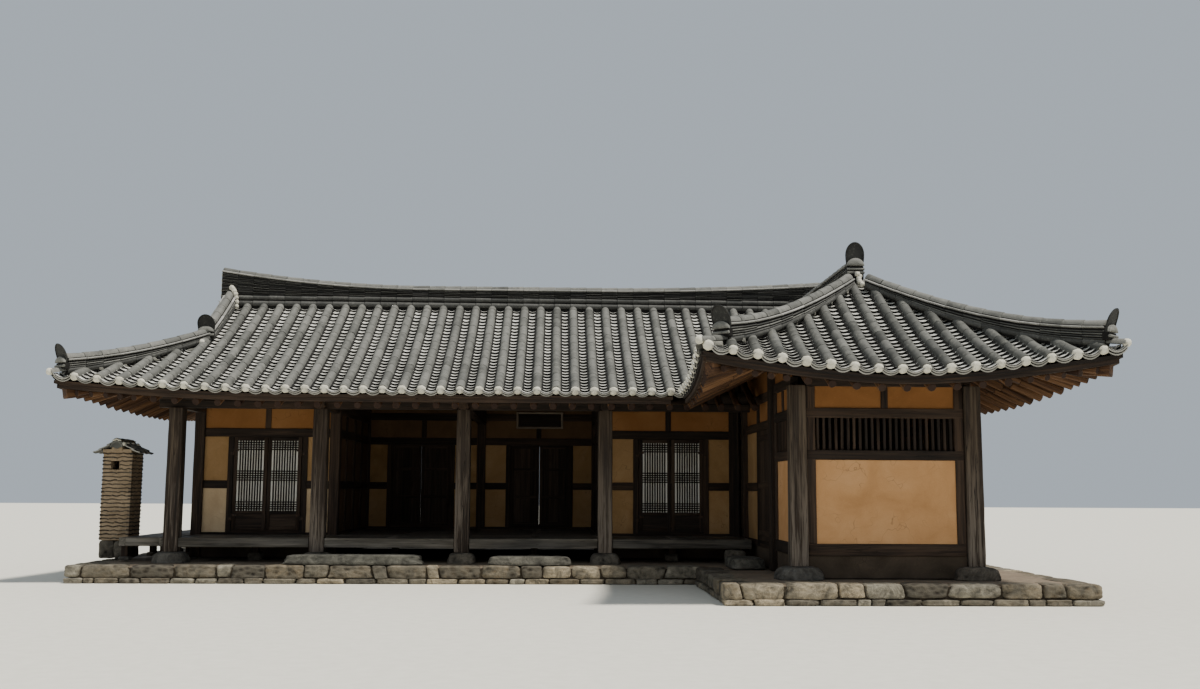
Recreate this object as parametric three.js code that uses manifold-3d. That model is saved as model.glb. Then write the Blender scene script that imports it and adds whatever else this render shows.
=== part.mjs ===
// Hanok house: an L-shaped timber house with plaster panels, a raised timber floor and a tiled roof.
// Millimetres, +Z up. X runs along the front, Y runs from the front to the back.
// Shapes are laid out from the centre of the front left post at ground level,
// and the whole house is moved at the end so that its origin is the middle of its footprint.
import * as THREE from 'three';
import { mergeVertices } from 'three/addons/utils/BufferGeometryUtils.js';
import Module from 'manifold-3d';

const wasm = await Module();
wasm.setup();

// Clearances
const SEAT = 0.3;             // gap between pieces that touch
const SWING = 7;              // gap around a door leaf
const MEETING = 10;           // gap between two leaves of one doorway

// Plan lines of the posts
const X_LEFT = 0;
const X_HALL = 2400;
const X_MIDDLE = 4800;
const X_RIGHT_ROOM = 7200;
const X_WING = 9800;
const X_RIGHT = 12320;
const Y_WING = -3350;
const Y_KITCHEN_POST = -1785;
const Y_FRONT = 0;
const Y_CORNER_POST = 930;
const Y_WALL = 1350;
const Y_BACK = 4850;

// Levels
const TERRACE = 300;
const STONE = 470;            // top of the base stones
const FLOOR = 700;
const FLOOR_UNDER = 540;
const BEAM = 2850;            // underside of the beams, top of the posts
const BEAM_TOP = 3150;

// Timber and wall thicknesses
const FRONT_POST = 250;
const WALL_POST = 180;
const CORNER_POST = 240;
const FRAME = 120;
const PLASTER = 70;
const BEAM_WIDTH = 170;

// Heights of the rails in the walls
const SILL = [610, 740];
const MID_RAIL = [1510, 1650];
const HEAD_RAIL = [2430, 2580];
const TOP_RAIL = [2940, 3090];
const WALL_TOP = 4300;        // above the roof's underside everywhere, cut back to it

// Terrace edges
const TERRACE_LEFT = -1450;
const TERRACE_FRONT = -800;
const TERRACE_WING_LEFT = 8600;
const TERRACE_WING_FRONT = -4300;
const TERRACE_RIGHT = 13760;
const TERRACE_BACK = 5650;

// Roof
const EAVE_FRONT = -1180;
const EAVE_BACK = 6040;
const SIDE_OVERHANG = 1420;
const EAVE_LEFT = X_LEFT - SIDE_OVERHANG;
const EAVE_RIGHT = X_RIGHT + SIDE_OVERHANG;
const EAVE_WING_LEFT = 8330;
const EAVE_WING_FRONT = -4730;
const RIDGE_Y = (EAVE_FRONT + EAVE_BACK) / 2;
const WING_RIDGE_X = (EAVE_WING_LEFT + EAVE_RIGHT) / 2;
const EAVE_TOP = 3070;        // middle of the tile layer at the eaves
const EAVE_LIP = 2950;        // underside of the tiles' ends
const RAFTER_END = 2800;      // underside of the rafters' ends
const RAFTER_SETBACK = 180;
const PITCH = 0.42;
const SAG = 0.031 / 1000;     // the tiled face steepens towards the ridge
const SIDE_PITCH = 1.19;      // the wing's and the side slopes are steeper by this ratio
const CORNERS = [
  { x: EAVE_LEFT, y: EAVE_FRONT, out: [-1, -1], spread: 220, lift: 190 },
  { x: EAVE_LEFT, y: EAVE_BACK, out: [-1, 1], spread: 220, lift: 190 },
  { x: EAVE_RIGHT, y: EAVE_BACK, out: [1, 1], spread: 220, lift: 300 },
  { x: EAVE_RIGHT, y: EAVE_WING_FRONT, out: [1, -1], spread: 220, lift: 360 },
  { x: EAVE_WING_LEFT, y: EAVE_WING_FRONT, out: [-1, -1], spread: 150, lift: 350 },
];
const SWEEP_REACH = 3500;
const SKY = 9000;

// Colours and finishes
const finish = (color, roughness) => new THREE.MeshStandardMaterial({ color, roughness, metalness: 0 });
const stoneGrey = finish(0x8d867a, 0.95);
const stepGrey = finish(0x9a968c, 0.95);
const oldTimber = finish(0x55493d, 0.85);
const darkTimber = finish(0x3a2a20, 0.85);
const floorTimber = finish(0x6a6054, 0.8);
const plaster = finish(0xb98d5b, 0.95);
const tileGrey = finish(0x4b4d4d, 0.8);
const ridgeGrey = finish(0x3c3e3f, 0.8);
const doorTimber = finish(0x43302a, 0.8);
const paperWhite = finish(0xd8d6cc, 0.9);
const chimneyBrown = finish(0x86705a, 0.95);
const boardBlack = finish(0x2b201b, 0.7);

const house = new THREE.Group();

// Turns a closed geometry into a solid that can be joined and cut
function solid(geometry) {
  const bare = new THREE.BufferGeometry();
  bare.setAttribute('position', geometry.getAttribute('position').clone());
  if (geometry.index) bare.setIndex(geometry.index.clone());
  const merged = mergeVertices(bare, 1e-3);
  return new wasm.Manifold(new wasm.Mesh({
    numProp: 3,
    vertProperties: new Float32Array(merged.getAttribute('position').array),
    triVerts: new Uint32Array(merged.index.array),
  }));
}

function geometryOf(shape) {
  const mesh = shape.getMesh();
  const geometry = new THREE.BufferGeometry();
  geometry.setAttribute('position', new THREE.BufferAttribute(mesh.vertProperties, 3));
  geometry.setIndex(new THREE.BufferAttribute(mesh.triVerts, 1));
  return geometry;
}

const join = (...shapes) => shapes.reduce((whole, shape) => whole.add(shape));
const cut = (shape, ...tools) => tools.reduce((rest, tool) => rest.subtract(tool), shape);

function box(x0, x1, y0, y1, z0, z1) {
  const geometry = new THREE.BoxGeometry(x1 - x0, y1 - y0, z1 - z0);
  return solid(geometry.translate((x0 + x1) / 2, (y0 + y1) / 2, (z0 + z1) / 2));
}

// Upright prism over a plan outline
function prism(points, z0, z1) {
  const outline = new THREE.Shape(points.map(([x, y]) => new THREE.Vector2(x, y)));
  const geometry = new THREE.ExtrudeGeometry(outline, { depth: z1 - z0, bevelEnabled: false });
  return solid(geometry.translate(0, 0, z0));
}

// Closed skin over a row of rings that all have the same number of points
function loft(rings) {
  const count = rings[0].length;
  const positions = rings.flat(2);
  const faces = [];
  for (let r = 0; r + 1 < rings.length; r += 1) {
    for (let i = 0; i < count; i += 1) {
      const a = r * count + i;
      const b = r * count + (i + 1) % count;
      faces.push(a, b, b + count, a, b + count, a + count);
    }
  }
  const last = (rings.length - 1) * count;
  for (let i = 1; i + 1 < count; i += 1) {
    faces.push(0, i + 1, i, last, last + i, last + i + 1);
  }
  const geometry = new THREE.BufferGeometry();
  geometry.setAttribute('position', new THREE.Float32BufferAttribute(positions, 3));
  geometry.setIndex(faces);
  return geometry;
}

// Square post with bevelled edges, slimmer at the top
function post(x, y, width, z0, z1, taper = 0.94) {
  const bevel = 0.42;
  const ring = (z, w) => [
    [-0.5, -bevel], [-bevel, -0.5], [bevel, -0.5], [0.5, -bevel],
    [0.5, bevel], [bevel, 0.5], [-bevel, 0.5], [-0.5, bevel],
  ].map(([u, v]) => [x + u * w, y + v * w, z]);
  return solid(loft([ring(z0, width), ring(z1, width * taper)]));
}

// Rough base stone, wider at the foot
function baseStone(x, y, length, depth, z0, z1) {
  const ring = (z, size) => [
    [-0.5, -0.34], [-0.36, -0.5], [0.38, -0.5], [0.5, -0.3],
    [0.48, 0.36], [0.34, 0.5], [-0.38, 0.48], [-0.5, 0.32],
  ].map(([u, v]) => [x + u * length * size, y + v * depth * size, z]);
  return solid(loft([ring(z0, 1), ring(z0 + (z1 - z0) * 0.55, 0.96), ring(z1, 0.76)]));
}

function addPiece(name, shape, material) {
  const mesh = new THREE.Mesh(shape.isBufferGeometry ? shape : geometryOf(shape), material);
  mesh.name = name;
  house.add(mesh);
  return mesh;
}

// Heights of a roof face, by the distance from its eave times the ratio of its pitch
const tileFace = (q) => EAVE_TOP + PITCH * q + SAG * q * q;
const underside = (q) => (q < RAFTER_SETBACK
  ? EAVE_LIP + (RAFTER_END - EAVE_LIP) * (q / RAFTER_SETBACK)
  : RAFTER_END + PITCH * (q - RAFTER_SETBACK));

// Lift and outward spread of the eaves towards their corners
function swept([x, y, z]) {
  const moved = [x, y, z];
  for (const corner of CORNERS) {
    const a = Math.max(0, 1 - Math.abs(x - corner.x) / SWEEP_REACH);
    const b = Math.max(0, 1 - Math.abs(y - corner.y) / SWEEP_REACH);
    const weight = a * a * b * b;
    moved[0] += corner.out[0] * corner.spread * weight;
    moved[1] += corner.out[1] * corner.spread * weight;
    moved[2] += corner.lift * weight;
  }
  return moved;
}

// Lines up the slope, the same on both faces of a hip so that their curved edges meet
const wingHalf = EAVE_RIGHT - WING_RIDGE_X;
const GABLE_Q = SIDE_PITCH * SIDE_OVERHANG;
const APEX_Q = SIDE_PITCH * wingHalf;
const RIDGE_Q = RIDGE_Y - EAVE_FRONT;
const SLOPE_LINES = [0, RAFTER_SETBACK, 600, 1100, GABLE_Q, 2400, APEX_Q, RIDGE_Q];
const lineUp = (start, pitch) => SLOPE_LINES.map((q) => start + q / pitch);
const lineDown = (end, pitch) => SLOPE_LINES.map((q) => end - q / pitch).reverse();

// Where the hips and valleys cross a row q up the slope
const leftHipX = (q) => EAVE_LEFT + Math.min(q, GABLE_Q) / SIDE_PITCH;
const rightHipX = (q) => EAVE_RIGHT - Math.min(q, GABLE_Q) / SIDE_PITCH;
const valleyX = (q) => EAVE_WING_LEFT + q / SIDE_PITCH;
const wingFrontY = (q) => EAVE_WING_FRONT + q / SIDE_PITCH;
const valleyY = (q) => EAVE_FRONT + q;

// Each face: the axis its eave runs along, the eave's place on the other axis, the way up,
// and patches that run from one row to another between two edges
const roofPlans = {
  main_roof_front: {
    axis: 'x', eave: EAVE_FRONT, up: 1, ratio: 1,
    stations: [...lineUp(EAVE_LEFT, SIDE_PITCH), 5200, ...lineDown(EAVE_RIGHT, SIDE_PITCH)],
    patches: [
      { from: 0, to: APEX_Q, a: leftHipX, b: valleyX },
      { from: APEX_Q, to: RIDGE_Q, a: leftHipX, b: () => X_RIGHT },
      { from: GABLE_Q + 5, to: APEX_Q, a: (q) => EAVE_RIGHT - q / SIDE_PITCH, b: () => X_RIGHT },
    ],
  },
  main_roof_back: {
    axis: 'x', eave: EAVE_BACK, up: -1, ratio: 1,
    stations: [...lineUp(EAVE_LEFT, SIDE_PITCH), 5200, ...lineDown(EAVE_RIGHT, SIDE_PITCH)],
    patches: [{ from: 0, to: RIDGE_Q, a: leftHipX, b: rightHipX }],
  },
  left_roof_skirt: {
    axis: 'y', eave: EAVE_LEFT, up: 1, ratio: SIDE_PITCH,
    stations: [...lineUp(EAVE_FRONT, 1), ...lineDown(EAVE_BACK, 1)],
    patches: [{ from: 0, to: GABLE_Q, a: valleyY, b: (q) => EAVE_BACK - q }],
  },
  right_roof: {
    axis: 'y', eave: EAVE_RIGHT, up: -1, ratio: SIDE_PITCH,
    stations: [...lineUp(EAVE_WING_FRONT, SIDE_PITCH), ...lineDown(EAVE_BACK, 1)],
    patches: [
      { from: 0, to: GABLE_Q, a: wingFrontY, b: (q) => EAVE_BACK - q },
      { from: GABLE_Q, to: APEX_Q, a: wingFrontY, b: valleyY },
    ],
  },
  wing_roof_left: {
    axis: 'y', eave: EAVE_WING_LEFT, up: 1, ratio: SIDE_PITCH,
    stations: lineUp(EAVE_WING_FRONT, SIDE_PITCH),
    patches: [{ from: 0, to: APEX_Q, a: wingFrontY, b: valleyY }],
  },
  wing_roof_front: {
    axis: 'x', eave: EAVE_WING_FRONT, up: 1, ratio: SIDE_PITCH,
    stations: [...lineUp(EAVE_WING_LEFT, SIDE_PITCH), ...lineDown(EAVE_RIGHT, SIDE_PITCH)],
    patches: [{ from: 0, to: APEX_Q - 5, a: valleyX, b: (q) => EAVE_RIGHT - q / SIDE_PITCH }],
  },
};

// Triangles between two rows of points that are sorted along the eave
function strip(low, high, face) {
  let i = 0;
  let j = 0;
  while (i + 1 < low.length || j + 1 < high.length) {
    const takeLow = j + 1 === high.length
      || (i + 1 < low.length && low[i + 1].s < high[j + 1].s + 10);
    if (takeLow) {
      face(low[i], low[i + 1], high[j]);
      i += 1;
    } else {
      face(low[i], high[j + 1], high[j]);
      j += 1;
    }
  }
}

// Solid between two heights over one patch of a face, with its edges moved in by gap
function roofPatch({ axis, eave, up, ratio, stations }, { from, to, a, b }, gap, lowZ, highZ) {
  const steps = [from, ...SLOPE_LINES.filter((q) => q > from + 20 && q < to - 20), to];
  const sorted = stations.toSorted((p, q) => p - q);
  const lines = sorted.filter((s, i) => i === 0 || s - sorted[i - 1] > 20);
  const positions = [];
  const faces = [];
  const turned = (axis === 'x' ? up : -up) < 0;
  const face = (i, j, k) => (turned ? faces.push(i, k, j) : faces.push(i, j, k));
  const rows = steps.map((step) => {
    const q = step > 0 && (step === from || step === to) ? step - gap : step;
    const start = a(step) + gap;
    const end = b(step) - gap;
    const inner = lines.filter((s) => s > start + 20 && s < end - 20);
    return [start, ...inner, end].map((s) => {
      const across = eave + up * (q / ratio);
      const [x, y] = axis === 'x' ? [s, across] : [across, s];
      const id = positions.length;
      positions.push(swept([x, y, highZ(q)]), swept([x, y, lowZ(q)]));
      return { s, id };
    });
  });
  for (let r = 0; r + 1 < rows.length; r += 1) {
    strip(rows[r], rows[r + 1], (i, j, k) => {
      face(i.id, j.id, k.id);
      face(i.id + 1, k.id + 1, j.id + 1);
    });
  }
  const rim = [
    ...rows[0], ...rows.slice(1, -1).map((row) => row.at(-1)), ...rows.at(-1).toReversed(),
    ...rows.slice(1, -1).map((row) => row[0]).toReversed(),
  ];
  rim.forEach(({ id }, i) => {
    const next = rim[(i + 1) % rim.length].id;
    face(id, id + 1, next + 1);
    face(id, next + 1, next);
  });
  const geometry = new THREE.BufferGeometry();
  geometry.setAttribute('position', new THREE.Float32BufferAttribute(positions.flat(), 3));
  geometry.setIndex(faces);
  return solid(geometry);
}

const roofLayer = (plan, gap, lowZ, highZ) =>
  join(...plan.patches.map((patch) => roofPatch(plan, patch, gap, lowZ, highZ)));

// Raised rows of cover tiles up each face, every second one of the real roof's
const ROW_PITCH = 618;
const ROW_FOOT = 88;
const ROW_SECTION = [[-ROW_FOOT, -40], [ROW_FOOT, -40], [42, 78], [-42, 78]];
const ROW_START = {
  main_roof_front: EAVE_LEFT + 50,
  main_roof_back: EAVE_LEFT + 50,
  left_roof_skirt: EAVE_FRONT + 100,
  right_roof: EAVE_WING_FRONT + 100,
  wing_roof_left: EAVE_WING_FRONT + 100,
  wing_roof_front: EAVE_WING_LEFT + 150,
};
const ROW_LINES = [600, GABLE_Q, 2400, APEX_Q];
const SHORTEST_ROW = 300;
const UNDER_RIDGE = 60;        // how far a row stops short of the top edge of its face
const MAIN_RIDGE_WIDTH = 320;
const WING_RIDGE_WIDTH = 290;
const RIDGE_BAND = [X_RIGHT - 320, X_RIGHT];

// Stretches of a row that lie on its own face
function rowRuns(plan, s) {
  const onFace = (q) => [s - ROW_FOOT, s + ROW_FOOT].every((edge) =>
    plan.patches.some(({ from, to, a, b }) => q >= from && q <= to && edge > a(q) && edge < b(q)));
  const besideRidge = plan.ratio === 1 && s > RIDGE_BAND[0] && s < RIDGE_BAND[1];
  const highest = besideRidge ? GABLE_Q + 320 : RIDGE_Q;
  const ridgeSide = plan.axis === 'x'
    ? RIDGE_Q - MAIN_RIDGE_WIDTH / 2 - 2 * SEAT
    : APEX_Q - SIDE_PITCH * (WING_RIDGE_WIDTH / 2 + 2 * SEAT);
  const runs = [];
  for (let q = 0; q < highest; q += 10) {
    const run = runs.at(-1);
    if (onFace(q) && run && q - run[1] <= 10) run[1] = q;
    else if (onFace(q)) runs.push([q, q]);
  }
  return runs.map(([low, high]) => [low + 12, Math.min(high - UNDER_RIDGE, ridgeSide)])
    .filter(([low, high]) => high - low > SHORTEST_ROW);
}

// One row between two places up the slope, larger by grow on the sides and on top
function tileRow({ axis, eave, up, ratio }, s, [low, high], grow) {
  const inner = ROW_LINES.filter((q) => q > low + 60 && q < high - 60);
  const turned = axis === 'x' ? up > 0 : up < 0;
  const rings = [low - grow, ...inner, high + grow].map((q) => {
    const across = eave + up * (q / ratio);
    const ring = ROW_SECTION.map(([u, v]) => {
      const along = s + u + Math.sign(u) * grow;
      const z = tileFace(q) + v + (v > 0 ? grow : 0);
      return swept(axis === 'x' ? [along, across, z] : [across, along, z]);
    });
    return turned ? ring.toReversed() : ring;
  });
  return solid(loft(rings));
}

function tileRows(name, plan, grow) {
  const last = Math.max(...plan.stations);
  const rows = [];
  for (let s = ROW_START[name]; s < last; s += ROW_PITCH) {
    rows.push(...rowRuns(plan, s).map((run) => tileRow(plan, s, run, grow)));
  }
  return join(...rows);
}

// Spaces kept clear above each face's underside and below its tiles
const spaceAbove = [];
const spaceBelow = [];
for (const [name, plan] of Object.entries(roofPlans)) {
  const layer = roofLayer(plan, 0.2, underside, tileFace);
  addPiece(name, join(layer, tileRows(name, plan, 0)), tileGrey);
  spaceBelow.push(tileRows(name, plan, SEAT));
  spaceAbove.push(roofLayer(plan, -0.5, (q) => underside(q) - SEAT, () => SKY));
  spaceBelow.push(roofLayer(plan, -0.5, () => 0, (q) => tileFace(q) + SEAT));
}
const largest = (shape) => shape.decompose().sort((a, b) => b.volume() - a.volume())[0];
const underRoof = (shape) => largest(cut(shape, ...spaceAbove));
const onRoof = (shape) => largest(cut(shape, ...spaceBelow));
const leftHipY = valleyY(GABLE_Q);
const rightHipY = leftHipY;
const mirrorY = (y) => 2 * RIDGE_Y - y;
const apexY = wingFrontY(APEX_Q);

// Terrace of stone and earth in two parts, with the base stones that rise from it
const mainStones = [
  [X_LEFT, Y_FRONT, 620, 560], [X_HALL, Y_FRONT, 560, 520], [X_MIDDLE, Y_FRONT, 520, 500],
  [X_RIGHT_ROOM, Y_FRONT, 560, 520], [X_RIGHT, Y_BACK, 600, 560], [X_LEFT, Y_BACK, 600, 560],
];
const wingStones = [[X_WING, Y_WING, 740, 620], [X_RIGHT, Y_WING, 700, 620]];
const baseStones = [...mainStones, ...wingStones];
const standing = (stones) => stones.map(([x, y, length, depth]) =>
  baseStone(x, y, length, depth, TERRACE - 40, STONE));
addPiece('main_terrace', join(
  box(TERRACE_LEFT, TERRACE_RIGHT, TERRACE_FRONT, TERRACE_BACK, 0, TERRACE),
  box(9200, 9560, -300, 40, TERRACE - 40, FLOOR_UNDER - SEAT),
  ...standing(mainStones),
), stoneGrey);
addPiece('wing_terrace', join(
  box(TERRACE_WING_LEFT, TERRACE_RIGHT, TERRACE_WING_FRONT, TERRACE_FRONT - SEAT, 0, TERRACE),
  ...standing(wingStones),
), stoneGrey);

function stepStone(name, x0, x1, y0, y1, height) {
  const stone = baseStone((x0 + x1) / 2, (y0 + y1) / 2, x1 - x0, y1 - y0, TERRACE + SEAT,
    TERRACE + height);
  addPiece(name, stone, stepGrey);
}
stepStone('long_step_stone', 1950, 4250, -730, -330, 160);
stepStone('short_step_stone', 5250, 6650, -730, -330, 140);
stepStone('kitchen_step_stone', 9100, 9660, -1650, -650, 170);

// Free-standing posts of the porch and the wing
const porchPosts = [X_LEFT, X_HALL, X_MIDDLE, X_RIGHT_ROOM];
porchPosts.forEach((x, i) => {
  addPiece(`porch_post_${i + 1}`, post(x, Y_FRONT, FRONT_POST, STONE + SEAT, BEAM - SEAT), oldTimber);
});
const WING_POST_TOP = 3020;
addPiece('wing_post_left', post(X_WING, Y_WING, FRONT_POST, STONE + SEAT, WING_POST_TOP), oldTimber);
addPiece('wing_post_right', post(X_RIGHT, Y_WING, FRONT_POST, STONE + SEAT, WING_POST_TOP), oldTimber);

const halfPost = WALL_POST / 2;
const besidePost = halfPost + SEAT;

// Beams across the house, each with the short post that carries the ridge purlin
const PURLIN = 180;
const beamBox = (x, grow) => box(x - BEAM_WIDTH / 2 - grow, x + BEAM_WIDTH / 2 + grow,
  Y_FRONT + PURLIN / 2 + SEAT - grow, Y_BACK + 100 + grow, BEAM - grow, BEAM_TOP + grow);
const RIDGE_PURLIN = [4040, 4500];
function crossbeam(x) {
  const kingPost = box(x - 70, x + 70, RIDGE_Y - 100, RIDGE_Y + 100, BEAM_TOP - 50,
    RIDGE_PURLIN[0] - SEAT);
  return join(beamBox(x, 0), kingPost);
}
const beamLines = [X_LEFT, X_HALL, X_MIDDLE, X_RIGHT_ROOM];
addPiece('hall_beam_left', underRoof(crossbeam(X_HALL)), darkTimber);
addPiece('hall_beam_middle', underRoof(crossbeam(X_MIDDLE)), darkTimber);
addPiece('hall_beam_right', underRoof(crossbeam(X_RIGHT_ROOM)), darkTimber);

// The left end beam carries the gable wall, so it is built up to it
const GABLE_SEAT = 3430;
const gableWall = (x0, x1, z0) => box(x0, x1, RIDGE_Y - 980, RIDGE_Y + 980, z0, 4600);
addPiece('left_gable_frame', underRoof(join(beamBox(X_LEFT, 0),
  box(X_LEFT - 60, X_LEFT + 60, Y_WALL + besidePost, Y_BACK - besidePost, BEAM_TOP - 50,
    GABLE_SEAT), gableWall(X_LEFT + 5, X_LEFT + 60, GABLE_SEAT - 20))), darkTimber);

addPiece('porch_purlin', underRoof(box(X_LEFT - 300, X_WING - 125, Y_FRONT - PURLIN / 2,
  Y_FRONT + PURLIN / 2, BEAM + SEAT, 3600)), darkTimber);
addPiece('ridge_purlin', underRoof(box(X_LEFT + 90, X_RIGHT - 90, RIDGE_Y - 100, RIDGE_Y + 100,
  ...RIDGE_PURLIN)), darkTimber);

// Walls: a line along X or Y, timber frame members proud of thinner plaster
const alongX = (at) => ({ along: 'x', at });
const alongY = (at) => ({ along: 'y', at });
function member(line, u0, u1, depth, z0, z1) {
  const near = line.at - depth / 2;
  const far = line.at + depth / 2;
  return line.along === 'x' ? box(u0, u1, near, far, z0, z1) : box(near, far, u0, u1, z0, z1);
}

// Studs of one bay between u0 and u1, or the jambs of the doorway in it
function bayStuds(line, u0, u1, doorway) {
  const middle = (u0 + u1) / 2;
  const stud = (at, z0, z1) => member(line, at - 50, at + 50, FRAME, z0, z1);
  const upper = stud(middle, HEAD_RAIL[1] - 10, TOP_RAIL[0] + 10);
  if (!doorway) return [upper, stud(middle, SILL[0], HEAD_RAIL[1])];
  const [d0, d1] = doorway.span;
  return [upper, stud(d0 - 50, SILL[0], HEAD_RAIL[1]), stud(d1 + 50, SILL[0], HEAD_RAIL[1])];
}

const doorwayCut = (line, { span, z }) => member(line, span[0], span[1], 600, z[0], z[1]);

// A wall from u0 to u1: plaster with rails, posts at the places listed and one bay between each pair
function framedWall(line, u0, u1, bays, posts, doorways = [], top = WALL_TOP, width = WALL_POST) {
  const rails = [SILL, MID_RAIL, HEAD_RAIL, TOP_RAIL].filter((rail) => rail[1] < top);
  const studs = bays.flatMap(([a, b]) =>
    bayStuds(line, a, b, doorways.find(({ span }) => span[0] > a && span[1] < b)));
  const shape = join(
    member(line, u0, u1, PLASTER, TERRACE + SEAT, top),
    ...rails.map((rail) => member(line, bays[0][0], bays.at(-1)[1], FRAME, ...rail)),
    ...studs,
    ...posts.map((at) =>
      member(line, at - width / 2, at + width / 2, width, TERRACE + SEAT, top)),
  );
  const overTop = member(line, u0 - 500, u1 + 500, 600, top, SKY);
  return cut(shape, overTop, ...doorways.map((doorway) => doorwayCut(line, doorway)));
}

const aroundBeams = (shape) => cut(shape, ...beamLines.map((x) => beamBox(x, SEAT)));
const ROOM_DOOR_Z = [770, 2430];
const leftDoorway = { span: [610, 1820], z: ROOM_DOOR_Z };
const rightDoorway = { span: [7860, 9030], z: ROOM_DOOR_Z };
const hallDoorways = [{ span: [2950, 4150], z: ROOM_DOOR_Z }, { span: [5420, 6620], z: ROOM_DOOR_Z }];
const X_ROOM_END = X_WING - FRAME - halfPost - SEAT;

// A leaf is laid out with its hanging edge at u = 0, its front face at v = 0 and its foot at z = 0
const LEAF = 45;
const PROUD = 10;             // how far a leaf stands in front of its frame
const PIN = { u: -SWING / 2, v: -8, radius: 7, height: 60 };
const pinHeights = (height) => [0.14 * height, 0.84 * height];
function barrel(z0, z1) {
  const geometry = new THREE.CylinderGeometry(PIN.radius, PIN.radius, z1 - z0, 8);
  return solid(geometry.rotateX(Math.PI / 2).translate(PIN.u, PIN.v, (z0 + z1) / 2));
}
const leafHinges = (height) => join(...pinHeights(height).map((z) =>
  join(barrel(z, z + PIN.height), box(PIN.u, 90, PIN.v, 2, z, z + PIN.height))));
const frameHinges = (height) => join(...pinHeights(height).map((z) =>
  join(barrel(z - PIN.height, z - SEAT), box(-60, PIN.u, PIN.v, PROUD + 4, z - PIN.height, z - SEAT))));

function latticeLeaf(width, height) {
  const stile = 55;
  const panelTop = 340;
  return join(
    box(0, width, 12, LEAF - 12, 0, height),
    box(0, stile, 0, LEAF, 0, height), box(width - stile, width, 0, LEAF, 0, height),
    box(0, width, 0, LEAF, 0, stile), box(0, width, 0, LEAF, height - stile, height),
    box(0, width, 0, LEAF, panelTop - stile, panelTop),
    leafHinges(height),
  );
}
function plankLeaf(width, height) {
  const battens = [0.07, 0.5, 0.93].map((part) =>
    box(110, width - 20, -8, 20, part * height - 45, part * height + 45));
  return join(box(0, width, 0, LEAF, 0, height), ...battens, leafHinges(height));
}

function mirror(geometry) {
  geometry.scale(-1, 1, 1);
  const index = geometry.index.array;
  for (let i = 0; i < index.length; i += 3) [index[i], index[i + 1]] = [index[i + 1], index[i]];
  return geometry;
}

const doors = {};
function leafPair(prefix, doorway, wallY, outward, makeLeaf, material) {
  const width = (doorway.span[1] - doorway.span[0]) / 2 - SWING - MEETING / 2;
  const height = doorway.z[1] - doorway.z[0] - 2 * SWING;
  const face = wallY + outward * (FRAME / 2 + PROUD);
  const z = doorway.z[0] + SWING;
  const common = { leaf: makeLeaf(width, height), height, material, angle: outward > 0 ? Math.PI : 0 };
  const back = outward > 0;
  doors[`${prefix}_left`] = { ...common, hinge: [doorway.span[0] + SWING, face, z], mirrored: back };
  doors[`${prefix}_right`] = { ...common, hinge: [doorway.span[1] - SWING, face, z], mirrored: !back };
}
leafPair('left_room_door', leftDoorway, Y_WALL, -1, latticeLeaf, paperWhite);
leafPair('right_room_door', rightDoorway, Y_WALL, -1, latticeLeaf, paperWhite);
leafPair('hall_door_1', hallDoorways[0], Y_BACK, 1, plankLeaf, doorTimber);
leafPair('hall_door_2', hallDoorways[1], Y_BACK, 1, plankLeaf, doorTimber);

// The kitchen's wide plank leaf hangs beside the middle post and opens into the yard
const KITCHEN_DOOR_Z = [700, 2500];
const kitchenDoorway = { span: [-1580, -480], z: KITCHEN_DOOR_Z };
const kitchenLeaf = [kitchenDoorway.span[1] - kitchenDoorway.span[0] - 2 * SWING,
  KITCHEN_DOOR_Z[1] - KITCHEN_DOOR_Z[0] - 2 * SWING];
doors.kitchen_door = {
  leaf: plankLeaf(...kitchenLeaf), height: kitchenLeaf[1], material: doorTimber,
  hinge: [X_WING - FRAME / 2 - PROUD, kitchenDoorway.span[0] + SWING, KITCHEN_DOOR_Z[0] + SWING],
  angle: -Math.PI / 2, mirrored: true,
};

// The fixed halves of a wall's hinges, in their places
function withHinges(shape, ...names) {
  return join(shape, ...names.map((name) => {
    const { height, hinge, angle, mirrored } = doors[name];
    const geometry = geometryOf(frameHinges(height));
    if (mirrored) mirror(geometry);
    return solid(geometry.rotateZ(angle).translate(...hinge));
  }));
}

const frontLine = alongX(Y_WALL);
const backLine = alongX(Y_BACK);
const stoneCuts = baseStones.map(([x, y, length, depth]) =>
  baseStone(x, y, length + 2 * SEAT, depth + 2 * SEAT, TERRACE - 40, STONE + SEAT));
const offStones = (shape) => cut(shape, ...stoneCuts);

addPiece('left_room_front_wall', withHinges(underRoof(aroundBeams(framedWall(frontLine,
  X_LEFT - halfPost, X_HALL + halfPost, [[X_LEFT + halfPost, X_HALL - halfPost]],
  [X_LEFT, X_HALL], [leftDoorway]))), 'left_room_door_left', 'left_room_door_right'), plaster);

addPiece('left_room_back_wall', underRoof(offStones(aroundBeams(framedWall(backLine,
  X_LEFT - halfPost, X_HALL - SEAT / 2, [[X_LEFT + halfPost, X_HALL - halfPost]],
  [X_LEFT])))), plaster);

// Walls that run from the front to the back stand under the crossbeams
const SIDE_STUD = 3100;
const sideWall = (x) => framedWall(alongY(x), Y_WALL + besidePost, Y_BACK - besidePost,
  [[Y_WALL + besidePost, SIDE_STUD], [SIDE_STUD, Y_BACK - besidePost]], [SIDE_STUD], [],
  BEAM - SEAT, FRAME);
addPiece('left_room_side_wall', offStones(sideWall(X_LEFT)), plaster);
addPiece('hall_left_wall', sideWall(X_HALL), plaster);
addPiece('hall_right_wall', sideWall(X_RIGHT_ROOM), plaster);

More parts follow.
